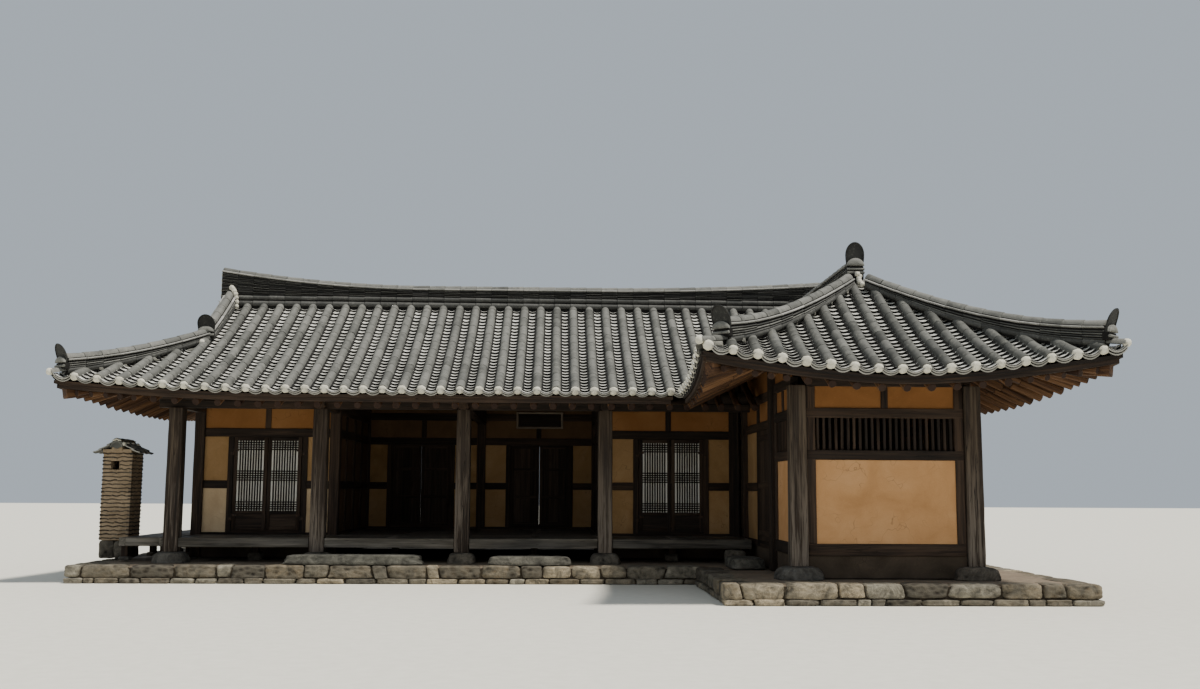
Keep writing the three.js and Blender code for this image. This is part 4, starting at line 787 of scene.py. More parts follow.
def fan_rafters(soup, face, corner_s, inward, slope):
    """Rafters that fan out from a hip; slope is how far the hip runs up the slope per step along the eave"""
    hip_q, count, radius = 1.6, 5, 0.052
    centre = face.at(corner_s + inward * hip_q / slope, hip_q, board_height)
    for k in range(count):
        s = corner_s + inward * (0.34 + (hip_q / slope - 0.34) * k / count)
        tip = face.at(s, RAFTER_Q, board_height)
        end = tip + (centre - tip) * (0.80 + 0.02 * k)
        rafter(soup, tip - UP * radius, end - UP * radius, radius * rng.uniform(0.92, 1.05))


def hip_timber(soup, x, y, step_x, step_y):
    """Square rafter under a hip, from its corner to the wall"""
    points = [swept([x + step_x * q, y + step_y * q, board_height(q) - 0.07]) for q in (0.2, 0.7, 1.25, 1.75)]
    for a, b in zip(points[:-1], points[1:]):
        timber(soup, a, b + (b - a) * 0.02, 0.15, 0.2, RAFTER, 0.012, step=9, tone=0.35)


# Eave ends; straight rafters (from, to, reach over the hall, reach elsewhere); fans; hips
ROOFS = {
    "main_roof_front": ((EAVE_LEFT, EAVE_WING_LEFT), [(0.0, 8.2, 3.5, 2.6), (8.5, 9.6, 2.6, 2.6)],
                        [(EAVE_LEFT, 1, SIDE)], [(EAVE_LEFT, EAVE_FRONT, 1 / SIDE, 1)]),
    "main_roof_back": ((EAVE_LEFT, EAVE_RIGHT), [(0.0, X_RIGHT, 3.5, 1.5)],
                       [(EAVE_LEFT, 1, SIDE), (EAVE_RIGHT, -1, SIDE)],
                       [(EAVE_LEFT, EAVE_BACK, 1 / SIDE, -1), (EAVE_RIGHT, EAVE_BACK, -1 / SIDE, -1)]),
    "left_roof_skirt": ((EAVE_FRONT, EAVE_BACK), [(0.45, 4.4, 1.66, 1.66)],
                        [(EAVE_FRONT, 1, 1), (EAVE_BACK, -1, 1)], []),
    "right_roof": ((EAVE_WING_FRONT, EAVE_BACK), [(-3.3, 4.4, 1.66, 1.66)],
                   [(EAVE_WING_FRONT, 1, SIDE), (EAVE_BACK, -1, 1)], []),
    "wing_roof_left": ((EAVE_WING_FRONT, EAVE_FRONT), [(-3.3, -1.3, 1.75, 1.75)],
                       [(EAVE_WING_FRONT, 1, SIDE)], []),
    "wing_roof_front": ((EAVE_WING_LEFT, EAVE_RIGHT), [(9.75, 12.32, 1.64, 1.64)],
                        [(EAVE_WING_LEFT, 1, SIDE), (EAVE_RIGHT, -1, SIDE)],
                        [(EAVE_WING_LEFT, EAVE_WING_FRONT, 1 / SIDE, 1 / SIDE),
                         (EAVE_RIGHT, EAVE_WING_FRONT, -1 / SIDE, 1 / SIDE)]),
}

for name, ((low, high), straight, fans, hips) in ROOFS.items():
    face = FACES[name]
    soup = Soup()
    # The wing's cover tiles are set darker: painted shade of the more grazing light on its slopes
    tiled(soup, face, 0.3 if name.startswith("wing") else 0.0)
    # Near-black sheet under the tiles: painted shade where gaps open between them
    face_layer(soup, face, lambda q: tile_height(q) - 0.058, BED_SHADE, 0.07)
    face_layer(soup, face, board_height, SOFFIT, 0.15, flip=True)
    eave_edge(soup, face, low + 0.13, high - 0.11, 0.11, 0.155, 2.905, 2.975)
    eave_edge(soup, face, low + 0.09, high - 0.08, 0.08, 0.16, 2.97, 3.02)
    for builder, parts in ((straight_rafters, straight), (fan_rafters, fans)):
        for part in parts:
            builder(soup, face, *part)
    for hip in hips:
        hip_timber(soup, *hip)
    soup.dress(name, ROOF_LOOK, "roof_tile")


# ---- Ridges: courses of thin tiles under a row of half-round ones, with upright end tiles ----

RIDGE_LOOK = [SHADED_RIDGE_TILE, ROOF_TILE, BED_SHADE_CLAY, LIME, SHADED_ROLL_TILE, LIT_PAN_EDGE]
SHADED_THIN, ROUND, CORE_SHADE, WHITE, ROLL_SHADE, LIT_COURSE = range(6)
TOP_RADIUS = 0.082


def spaced(path, step):
    """Points (and the other columns) every step along a path"""
    path = np.asarray(path, float)
    run = np.concatenate([[0], np.cumsum(np.linalg.norm(np.diff(path[:, :3], axis=0), axis=1))])
    at = np.linspace(0, run[-1], max(1, round(run[-1] / step)) + 1)
    return np.stack([np.interp(at, run, column) for column in path.T], -1)


def half_round(soup, a, b, radius, slot, up=UP):
    """One half-round tile from its wide end a to its narrow end b"""
    a, b = np.asarray(a, float), np.asarray(b, float)
    d = unit(b - a)
    side = unit(np.cross(d, up))
    top = np.cross(side, d)
    angle = np.linspace(0, math.pi, ARC)[:, None]
    points = np.array([a + (b - a) * place + radius * size * (np.cos(angle) * side + np.sin(angle) * top)
                       for place, size in ((0.0, 0.9), (0.02, 1.0), (1.0, 0.9))])
    ids = np.arange(3 * ARC).reshape(3, ARC)
    faces = [quads(ids.T).swapaxes(0, 1).reshape(-1, 4), ids[0][fan(ARC)], ids[-1][fan(ARC)[:, ::-1]]]
    soup.add(points, faces, slot, points + rng.uniform(0, 30, 3), rng.uniform(0.2, 0.9))


def slab(soup, a, b, side_a, side_b, width, lows, thick, slot):
    """Thin tile course from a to b with rounded edges"""
    w, edge = width / 2, 0.010
    section = [(-w + edge, 0), (w - edge, 0), (w, 0.35), (w, 0.7), (w - edge, 1), (-w + edge, 1),
               (-w, 0.7), (-w, 0.35)]
    nudge = jitter(0.005)
    rings = np.array([[p + side * (u + nudge) + UP * (low + v * thick) for u, v in section]
                      for p, side, low in ((a, side_a, lows[0]), (b, side_b, lows[1]))])
    add_tube(soup, rings[:, ::-1], slot, (0.1, 0.9))


def ridge(soup, path, width, wavy=False):
    """Ridge along path rows (x, y, foot height, top height): from the top a row of half-round tiles and
    plain courses, on the main ridge thin uneven courses over two rolls, elsewhere one roll"""
    line = spaced(path, 0.3)
    foot, top = line[:, 2], line[:, 3] - TOP_RADIUS
    flat = line[:, :3] * [1, 1, 0]
    heading = unit(np.gradient(flat, axis=0))
    side = np.stack([heading[:, 1], -heading[:, 0], np.zeros(len(line))], -1)
    # Clay core, set back from the courses, near-black: painted shade between the courses and rolls
    w = width / 2 - 0.045
    core = np.stack([flat + side * u + np.outer(z, UP)
                     for u, z in ((-w, foot), (-w, top), (w, top), (w, foot))], 1)
    soup.add(core, tube_faces(len(line), 4), CORE_SHADE)
    pieces = range(len(line) - 1)

    def course(k, lows, thick, size, slot):
        gap = 0.003 * heading[k]
        slab(soup, flat[k] + gap, flat[k + 1] - gap, side[k], side[k + 1], size, lows, thick, slot)

    for k in pieces:
        a, b = flat[k] + UP * (top[k] - 0.004), flat[k + 1] + UP * (top[k + 1] - 0.004)
        a, b = (a, b) if line[0, 3] < line[-1, 3] or k < 1 else (b, a)
        half_round(soup, a - (b - a) * 0.02, b - (b - a) * 0.03, TOP_RADIUS, ROUND)
    # The course right under the top row is in the pale edge colour: a painted highlight
    for k in pieces:
        if wavy:
            course(k, top[k:k + 2] - 0.032, 0.03, width * 0.94, LIT_COURSE)
            continue
        course(k, top[k:k + 2] - 0.044, 0.030, width * 0.94, LIT_COURSE)
        start, room = (top - 0.060)[k:k + 2], (top - 0.060 - foot - 0.105)[k:k + 2]
        count = max(2, int(round(room.mean() / 0.034)))
        # Lower courses are in the darker roll colour as painted shade, every third in the cover colour as lit
        for i in range(count):
            course(k, start - room * (i + 1) / count, 0.62 * room.mean() / count,
                   width * (0.86 + 0.03 * min(i, 3)), ROUND if i % 3 == 1 else ROLL_SHADE)
    if wavy:
        lower, full = foot + 0.305, top - 0.036 - foot - 0.305
        for k in pieces:
            room = full[k:k + 2].mean()
            count = max(3, int(round(room / 0.029)))
            thick = 0.66 * room / count
            for i in range(count):
                lows = (lower + full * (i + 0.12) / count)[k:k + 2] + jitter(0.32 * thick, 2)
                # Most courses are in the dark ridge colour as painted shade; about a third are thinner, wider
                # and in the cover colour as painted highlights
                light = rng.uniform() < 0.3
                course(k, lows, thick * (0.35 if light else 1),
                       width * (0.92 if light else rng.uniform(0.80, 0.88)), ROUND if light else SHADED_THIN)
    # Rolls are in the darker roll colour: painted shade of their undersides
    for height, radius in ((0.255, 0.046), (0.145, 0.054)) if wavy else ((0.075, 0.05),):
        for k in pieces:
            for way in (-1, 1):
                a, b = (flat[j] + side[j] * way * (width / 2 - 0.06) + UP * (foot[j] + height)
                        for j in (k, k + 1))
                half_round(soup, a, b - (b - a) * 0.015, radius, ROLL_SHADE, side[k] * way)


def lump(soup, centre, size, slot=WHITE, rough=0.08):
    """Dab of lime or mortar"""
    world = np.asarray(centre) + lumpy(SMALL_CUBE, 2.0, rough) * np.asarray(size)
    soup.add(world, SMALL_CUBE[1], slot, world, rng.uniform())


def half_disc(soup, foot, right, forward, half, height):
    """Upright half-oval plate, bulging a little forward"""
    angle = np.linspace(0, math.pi, 13)
    rings = []
    for scale, depth in ((1, -0.035), (1, 0), (0.86, 0.012), (0.4, 0.022)):
        u, v = -np.cos(angle) * half * scale, np.sin(angle) * height * scale + (1 - scale) * height * 0.3
        rings.append(foot + u[:, None] * right + v[:, None] * UP + depth * forward)
    add_tube(soup, rings, ROUND, 0.8)


def end_tile(soup, foot, outward, width, height, lean=0.34, rolls=1):
    """Upright oval tile with a narrow rim, leaning outward over a pale half-round one and short rolls"""
    thick = 0.03
    forward = unit(np.array([outward[0], outward[1], 0.0]))
    right = np.cross(forward, UP)
    half = width / 2
    base = np.asarray(foot, float)
    angle = np.linspace(-0.62, math.pi + 0.62, 22)
    rise = np.sin(angle) * np.where(np.sin(angle) < 0, 0.86, 0.5)
    outline = np.column_stack([-half * np.cos(angle), height * (0.5 + rise)])
    middle = np.array([0, height * 0.5])

    def ring(scale, depth):
        flat = middle + (outline - middle) * scale
        curve = lean * np.clip(flat[:, 1] / height, 0, 1) ** 1.6 * height
        return base + flat[:, :1] * right + flat[:, 1:] * UP + (depth + curve)[:, None] * forward

    add_tube(soup, [ring(*at) for at in ((0.9, -thick), (1.0, -thick + 0.008), (1.0, -0.006), (0.95, 0.0),
                                         (0.90, 0.0), (0.87, -0.012), (0.4, -0.008))], SHADED_THIN, 0.2)
    low = base + forward * 0.045
    half_disc(soup, low + UP * 0.02, right, forward, half * 0.92, height * 0.30)
    roll_pitch = 0.055
    drop = roll_pitch * rolls
    back = base - UP * (drop - 0.02) - forward * 0.02
    # Near-black block behind the rolls: painted shade
    timber(soup, back - right * half * 0.86, back + right * half * 0.86, 0.09, 2 * drop - 0.01, CORE_SHADE, 0.004,
           step=9)
    for k in range(rolls):
        centre = low - UP * (roll_pitch * (k + 1) - 0.02) - forward * 0.01
        log(soup, centre - right * half * 0.93, centre + right * half * 0.93, 0.021, ROUND, 8, step=9)


def runner(soup, start, end, count=1):
    """Cover tiles that run on from under an end tile, closed by a lime ball"""
    step = (end - start) / count
    for k in range(count):
        half_round(soup, start + step * (k + 1), start + step * k, COVER_RADIUS, ROUND)
    lump(soup, end - unit(step) * 0.005 + UP * 0.022, [COVER_RADIUS * 0.8] * 3)


def ridge_line(start, end, surface, low, high):
    """Rows for a ridge over a surface, from one height above it to another"""
    rows = []
    for f in np.linspace(0, 1, 11):
        p = on_roof([a + (b - a) * f for a, b in zip(start, end)], surface)
        rows.append([*p[:2], p[2] - 0.02, p[2] + low + (high - low) * f])
    return rows


def front_surface(x, y):
    return tile_height(y - EAVE_FRONT)


def back_surface(x, y):
    return tile_height(EAVE_BACK - y)


def wing_surface(x, y):
    return tile_height(SIDE * min(x - EAVE_WING_LEFT, EAVE_RIGHT - x))


def on_roof(plan, surface, above=0.0):
    """Place on a roof's surface over a place in plan"""
    return swept([*plan, surface(*plan)]) + UP * above


def main_top(x):
    """Top of the main ridge, which rises towards both ends"""
    left, right = max(0, 1 - x / 3.9), max(0, (x - X_RIGHT_ROOM) / (X_RIGHT - X_RIGHT_ROOM))
    return 5.41 + 0.31 * left ** 2 + 0.22 * right ** 2


def hip_end(soup, place, outward, surface, above, width, height):
    """Place of the end tile at the low end of a hip ridge, which it makes"""
    q = on_roof(place, surface)
    end_tile(soup, q + [*unit(np.array(outward)) * 0.05, above], outward, width, height)
    return q


def side_ridge(name, edge_x, inward, corner, hip_y, surface):
    """Ridge down a gable's edge, with lime at its head, and the hip ridge that goes on to the corner"""
    soup = Soup()
    to_back = 1 if RIDGE_Y > hip_y else -1
    x = edge_x + inward * 0.16
    start, foot = (x, RIDGE_Y - to_back * 0.165), (x, hip_y + to_back * 0.42)
    ridge(soup, ridge_line(start, foot, surface, 0.36, 0.30), 0.27)
    p = on_roof(foot, surface)
    end_tile(soup, p + [0, -to_back * 0.05, 0.14], (0, -to_back), 0.31, 0.32)
    runner(soup, p + UP * 0.06, on_roof((x, hip_y + to_back * 0.18), surface, 0.05))
    for f in np.arange(7) / 6:
        at = swept([x + inward * (0.03 + 0.11 * math.sin(f * 1.6)), RIDGE_Y - to_back * (0.20 + 0.02 * f), 0])
        at[2] = surface(*start) + 0.40 - 0.36 * f ** 1.5
        lump(soup, at, (0.045, 0.05, 0.05), rough=0.2)
    if corner:
        outward = (corner[0] - edge_x, corner[1] - hip_y)
        end, tip = ((corner[0] - outward[0] * f, corner[1] - outward[1] * f) for f in (0.11, 0.02))
        ridge(soup, ridge_line((x, hip_y + to_back * 0.40), end, surface, 0.25, 0.33), 0.25)
        q = hip_end(soup, end, outward, surface, 0.15, 0.30, 0.32)
        runner(soup, q + UP * 0.04, on_roof(tip, surface, 0.03))
    soup.dress(name, RIDGE_LOOK, "roof_tile")


def build_ridges():
    soup = Soup()
    top_z = tile_height(RIDGE_Q)
    ridge(soup, [[x, RIDGE_Y, top_z - 0.13, main_top(max(0, x)) - 0.006]
                 for x in np.linspace(-0.02, X_RIGHT + 0.02, 42)], 0.34, wavy=True)
    for x in (-0.02, X_RIGHT + 0.02):
        for z in np.arange(top_z + 0.02, main_top(max(0, x)) - 0.14, 0.1):
            lump(soup, [x, RIDGE_Y, z + 0.04], (0.03, 0.125, 0.06))
    soup.dress("main_ridge", RIDGE_LOOK, "roof_tile")
    side_ridge("left_front_ridge", X_LEFT, 1, (EAVE_LEFT, EAVE_FRONT), HIP_Y, front_surface)
    side_ridge("left_back_ridge", X_LEFT, 1, (EAVE_LEFT, EAVE_BACK), BACK_HIP_Y, back_surface)
    side_ridge("right_back_ridge", X_RIGHT, -1, (EAVE_RIGHT, EAVE_BACK), BACK_HIP_Y, back_surface)
    side_ridge("right_front_ridge", X_RIGHT, -1, None, HIP_Y, front_surface)

    soup = Soup()
    ridge(soup, ridge_line((WING_RIDGE_X, RIDGE_Y - 0.165), (WING_RIDGE_X, APEX_Y + 0.05), wing_surface,
                           0.43, 0.43), 0.28)
    z = wing_surface(WING_RIDGE_X, APEX_Y) + 0.27
    end_tile(soup, (WING_RIDGE_X, APEX_Y + 0.02, z), (0, -1), 0.30, 0.40, lean=0.10, rolls=2)
    for k in range(5):
        at = [WING_RIDGE_X + 0.02 + jitter(0.03), APEX_Y - 0.10 - 0.03 * k, z - 0.13 - 0.045 * k]
        lump(soup, at, (0.04, 0.05, 0.045), rough=0.2)
    soup.dress("wing_ridge", RIDGE_LOOK, "roof_tile")
    for name, corner_x, reach, tiles in (("wing_left_ridge", EAVE_WING_LEFT, 0.86, 2),
                                         ("wing_right_ridge", EAVE_RIGHT, 0.93, 1)):
        soup = Soup()
        outward = np.array([corner_x - WING_RIDGE_X, EAVE_WING_FRONT - APEX_Y])
        head, end, tip = ([WING_RIDGE_X, APEX_Y] + outward * f for f in (0.055, reach, 0.985))
        ridge(soup, ridge_line(head, end, wing_surface, 0.25, 0.37), 0.25)
        q = hip_end(soup, end, outward, wing_surface, 0.17, 0.31, 0.34)
        runner(soup, q + UP * 0.05, on_roof(tip, wing_surface, 0.035), tiles)
        soup.dress(name, RIDGE_LOOK, "roof_tile")


build_ridges()


# ---- Timber frame, walls and floors ----

FRAME_LOOK = [DARK_WOOD, OCHRE_CLAY, POST_WOOD, PEACH_CLAY, ORANGE_CLAY, IRON, FOOT_SHADE_CLAY, PALE_CLAY,
              HALL_SHADE_CLAY]
TIMBER, PLASTER, OLD, PEACH, ORANGE, METAL, FOOT_SHADE, PALE, HALL_SHADE = range(9)
PLATE, BEAM = 2.85, 3.0                  # top of the porch posts and inner walls, middle of the crossbeams
POST_HALF, RAIL_DEPTH = 0.125, 0.12
PORCH_END = 9.67                         # right end of the porch's timbers
DOOR_FOOT, KITCHEN_FOOT, KITCHEN_HEAD = 0.77, 0.70, 2.50
RUNNING, REVEAL = 0.007, 0.07            # gap round a leaf, and from a wall's line to its hinges
NO_LIMIT = 9


def under_boards(x, y):
    """Underside of the roof boards over a place in plan"""
    q = max(0.0, min(y - EAVE_FRONT, EAVE_BACK - y, (x - EAVE_LEFT) * SIDE if x < 0 else NO_LIMIT))
    if x > EAVE_WING_LEFT:
        wing = min((x - EAVE_WING_LEFT) * SIDE, (EAVE_RIGHT - x) * SIDE, (y - EAVE_WING_FRONT) * SIDE)
        q = max(q, wing) if y < RIDGE_Y else min(q, max(wing, q if x < X_RIGHT else wing))
    return float(swept([x, y, board_height(q)])[2])


class Line:
    """A wall line along X or Y"""

    def __init__(self, along, where):
        self.along, self.where = along, where

    def point(self, u, v, z):
        return np.array([u, self.where + v, z] if self.along == "x" else [self.where + v, u, z], float)

    def ceiling(self, u, extra=0.02):
        return under_boards(*self.point(u, 0, 0)[:2]) + extra

    def upright(self, soup, u, z0, z1, width, depth, **more):
        size = (width, depth) if self.along == "x" else (depth, width)
        timber(soup, self.point(u, 0, z0), self.point(u, 0, z1), *size, TIMBER, **more)

    def rail(self, soup, u0, u1, z0, z1, depth, **more):
        z = (z0 + z1) / 2
        timber(soup, self.point(u0, 0, z), self.point(u1, 0, z), depth, z1 - z0, TIMBER, **more)

    def panel(self, soup, u0, u1, z0, z1, slot=PLASTER, thick=0.07, z1_end=None):
        """Clay panel, a little hollow and uneven on both faces"""
        cols, rows = (max(2, math.ceil(size / 0.16)) for size in (u1 - u0, z1 - z0))
        tone, seed = rng.uniform(), rng.uniform(0, 50)
        for side in (-1, 1):
            grid = []
            for i, j in itertools.product(range(rows + 1), range(cols + 1)):
                u, top = u0 + (u1 - u0) * j / cols, z1 + ((z1 if z1_end is None else z1_end) - z1) * j / cols
                grid.append(self.point(u, side * thick / 2, z0 + (top - z0) * i / rows))
            flat = np.array(grid)
            bulge = 0.004 * ripple(flat, 3.1, seed) + 0.002 * ripple(flat, 9.0, seed + 3)
            flat[:, 1 if self.along == "x" else 0] += side * (bulge - 0.003)
            sheet(soup, flat.reshape(rows + 1, cols + 1, 3), slot, tone, flat + seed,
                  flip=(side > 0) == (self.along == "x"))


def door_stops(soup, line, u0, u1, z0, z1):
    """Laths round a doorway that the closed leaves lie against, let into its frame by a lap"""
    size, depth, lap = 0.026, 0.03, 0.012
    for at in (u0 + (size - lap) / 2, u1 - (size - lap) / 2):
        line.upright(soup, at, z0, z1, size + lap, depth, bevel=0.003)
    for low, high in ((z0 - lap, z0 + size), (z1 - size, z1 + lap)):
        line.rail(soup, u0, u1, low, high, depth, bevel=0.003)


def framed(soup, line, bays, posts, doorways, top, width=0.18, slot=PLASTER, low_slot=None, upper=ORANGE):
    """Rails, studs, posts and clay panels of one wall; top gives the height over a place"""
    for at in posts:
        line.upright(soup, at, TERRACE, top(at), width, width)
    for a, b in bays:
        door = next((d for d in doorways if a < d[0] and d[1] < b), None)
        ceiling = min(top(a), top(b))
        for low, high in (SILL, HEAD_RAIL, TOP_RAIL):
            if high < ceiling:
                line.rail(soup, a, b, low, high, RAIL_DEPTH)
        for low, high in [(a, door[0] - 0.1), (door[1] + 0.1, b)] if door else [(a, b)]:
            line.rail(soup, low, high, *MID_RAIL, 0.116)
        centre = (a + b) / 2
        line.upright(soup, centre, HEAD_RAIL[1], min(TOP_RAIL[0], ceiling), 0.1, 0.112)
        for at in [door[0] - 0.05, door[1] + 0.05] if door else [centre]:
            line.upright(soup, at, SILL[1], HEAD_RAIL[0], 0.1, 0.118)
        if door:
            line.rail(soup, *door, SILL[1] - 0.005, DOOR_FOOT, 0.125, bevel=0.004)
            door_stops(soup, line, *door, DOOR_FOOT, HEAD_RAIL[0])
        middle = sum(MID_RAIL) / 2
        for u0, u1 in [(a, door[0] - 0.06), (door[1] + 0.06, b)] if door else [(a, b)]:
            line.panel(soup, u0, u1, SILL[1], middle, low_slot or slot)
            line.panel(soup, u0, u1, middle, HEAD_RAIL[0], slot)
        # Foot panel in the dark foot clay: painted shadow under the floor
        line.panel(soup, a, b, TERRACE, SILL[0], FOOT_SHADE)
        line.panel(soup, a, b, HEAD_RAIL[1], top(a), upper, z1_end=top(b))


class Leaf:
    """A door leaf's place: its hinge side's foot, with the way across it and the way inwards"""

    def __init__(self, origin, across, inward, width, height):
        self.origin, self.across, self.inward = (np.array(v, float) for v in (origin, across, inward))
        self.width, self.height = width, height

    def at(self, u, v, z):
        return self.origin + self.across * u + self.inward * v + UP * z

    def box(self, soup, u0, u1, v0, v1, z0, z1, slot=0, bevel=0.003, upright=None):
        """Bar of a leaf from its own width, depth and height"""
        middle, deep, across_y = (v0 + v1) / 2, v1 - v0, abs(self.across[0]) < 0.5
        if z1 - z0 > u1 - u0 if upright is None else upright:
            a = self.at((u0 + u1) / 2, middle, z0)
            b, size = a + UP * (z1 - z0), (deep, u1 - u0) if across_y else (u1 - u0, deep)
        else:
            a = self.at(u0, middle, (z0 + z1) / 2)
            b, size = a + self.across * (u1 - u0), (deep, z1 - z0)
        timber(soup, a, b, *size, slot, bevel, step=9, rough=0.0003)

    def hinges(self, soup, slot, low, high):
        """Halves of the two hinges' iron barrels; gives their heights"""
        for z in (0.14 * self.height, 0.84 * self.height):
            log(soup, self.at(-0.0035, -0.008, z + low), self.at(-0.0035, -0.008, z + high), 0.0068, slot, 10,
                step=1, bevel=0.001, rough=0)
            yield z


ROOM_DOORS, HALL_DOORS = [(0.61, 1.82), (7.86, 9.03)], [(2.95, 4.15), (5.42, 6.62)]
KITCHEN_DOOR = (-1.58, -0.48)


def leaf_pair(name, doorway, y, inward, meeting):
    """Two leaves that meet in the middle of a doorway, with a gap between them"""
    low, high = doorway[0] + RUNNING, doorway[1] - RUNNING
    size = (high - low - meeting) / 2, HEAD_RAIL[0] - DOOR_FOOT - 2 * RUNNING
    return {f"{name}_{side}": Leaf((x, y, DOOR_FOOT + RUNNING), (way, 0, 0), (0, inward, 0), *size)
            for side, x, way in (("left", low, 1), ("right", high, -1))}


LEAVES = {
    **leaf_pair("left_room_door", ROOM_DOORS[0], Y_WALL - REVEAL, 1, 0.010),
    **leaf_pair("right_room_door", ROOM_DOORS[1], Y_WALL - REVEAL, 1, 0.010),
    **leaf_pair("hall_door_1", HALL_DOORS[0], Y_BACK + REVEAL, -1, 0.0024),
    **leaf_pair("hall_door_2", HALL_DOORS[1], Y_BACK + REVEAL, -1, 0.0024),
    "kitchen_door": Leaf((X_WING - REVEAL, KITCHEN_DOOR[0] + RUNNING, KITCHEN_FOOT + RUNNING), (0, 1, 0),
                         (1, 0, 0), *(b - a - 2 * RUNNING for a, b in (KITCHEN_DOOR,
                                                                       (KITCHEN_FOOT, KITCHEN_HEAD)))),
}
FRONT_WALL, BACK_WALL = Line("x", Y_WALL), Line("x", Y_BACK)


def fixed_hinges(soup, *doors):
    """The frame's halves of the hinges of the leaves whose names start so: iron barrels on a strap"""
    for leaf in [leaf for name, leaf in LEAVES.items() if name.startswith(doors)]:
        for z in leaf.hinges(soup, METAL, -0.06, -0.0005):
            a = leaf.at(-0.008, -0.006, z - 0.03)
            timber(soup, a, a - leaf.across * 0.05, 0.006, 0.045, METAL, bevel=0.001, rough=0)


def build_walls():
    # Rooms' front walls, with the lattice doors' frames
    for room, a, b, posts, door, low_slot in (
            ("left_room", 0.09, 2.31, [X_LEFT, X_HALL], ROOM_DOORS[0], PALE),
            ("right_room", 7.29, 9.50, [X_RIGHT_ROOM, 9.59], ROOM_DOORS[1], None)):
        soup = Soup()
        framed(soup, FRONT_WALL, [(a, b)], posts, [door], FRONT_WALL.ceiling, low_slot=low_slot)
        fixed_hinges(soup, room)
        soup.dress(room + "_front_wall", FRAME_LOOK, "clay_plaster")
    # The hall's back wall has its upper panels in the darker hall clay: painted shade
    for name, posts, bays, doorways, upper in (
            ("left_room_back_wall", [X_LEFT], [(0.09, 2.31)], [], ORANGE),
            ("hall_back_wall", [X_HALL, X_MIDDLE, X_RIGHT_ROOM], [(2.49, 4.71), (4.89, 7.11)], HALL_DOORS,
             HALL_SHADE),
            ("right_back_wall", [X_WING, X_RIGHT], [(7.29, 9.71), (9.89, 12.23)], [], ORANGE)):
        soup = Soup()
        framed(soup, BACK_WALL, bays, posts, doorways, BACK_WALL.ceiling, upper=upper)
        if doorways:
            fixed_hinges(soup, "hall_door")
        soup.dress(name, FRAME_LOOK, "clay_plaster")
    # Walls from the front to the back, under the crossbeams; the hall's two are in the darker hall clay,
    # painted shade
    for name, x, slot, upper in (("left_room_side_wall", X_LEFT, PLASTER, ORANGE),
                                 ("hall_left_wall", X_HALL, HALL_SHADE, HALL_SHADE),
                                 ("hall_right_wall", X_RIGHT_ROOM, HALL_SHADE, HALL_SHADE)):
        soup = Soup()
        framed(soup, Line("y", x), [(1.44, 3.04), (3.16, 4.76)], [3.1], [], lambda u: PLATE, 0.12, slot,
               upper=upper)
        soup.dress(name, FRAME_LOOK, "clay_plaster")


K_SILL, W_SILL, W_HEAD, K_TOP = (0.61, 0.78), (1.96, 2.10), (2.56, 2.70), (3.01, 3.16)


def slat_bay(soup, line, u0, u1, count):
    """Tall panel under a window with upright bars, and a small panel above"""
    for low, high in (K_SILL, W_SILL, W_HEAD, K_TOP):
        line.rail(soup, u0, u1, low, high, RAIL_DEPTH)
    for at in (u0 + 0.065, u1 - 0.065):
        line.upright(soup, at, K_SILL[1], K_TOP[0], 0.13, 0.114)
    middle = (u0 + u1) / 2
    line.upright(soup, middle, W_HEAD[1], K_TOP[0], 0.1, 0.112)
    line.panel(soup, u0, u1, K_SILL[1], W_SILL[0], PEACH)
    # Foot panel in the dark foot clay: painted shadow under the floor
    line.panel(soup, u0, u1, TERRACE, K_SILL[0], FOOT_SHADE)
    line.panel(soup, u0, u1, W_HEAD[1], line.ceiling(middle, 0.03), ORANGE)
    low, high = u0 + 0.13, u1 - 0.13
    for i in range(count):
        u = low + (high - low) * (i + 0.5) / count
        line.upright(soup, u, W_SILL[1] - 0.01, W_HEAD[0] + 0.01, 0.038, 0.045, step=9, bevel=0.004)


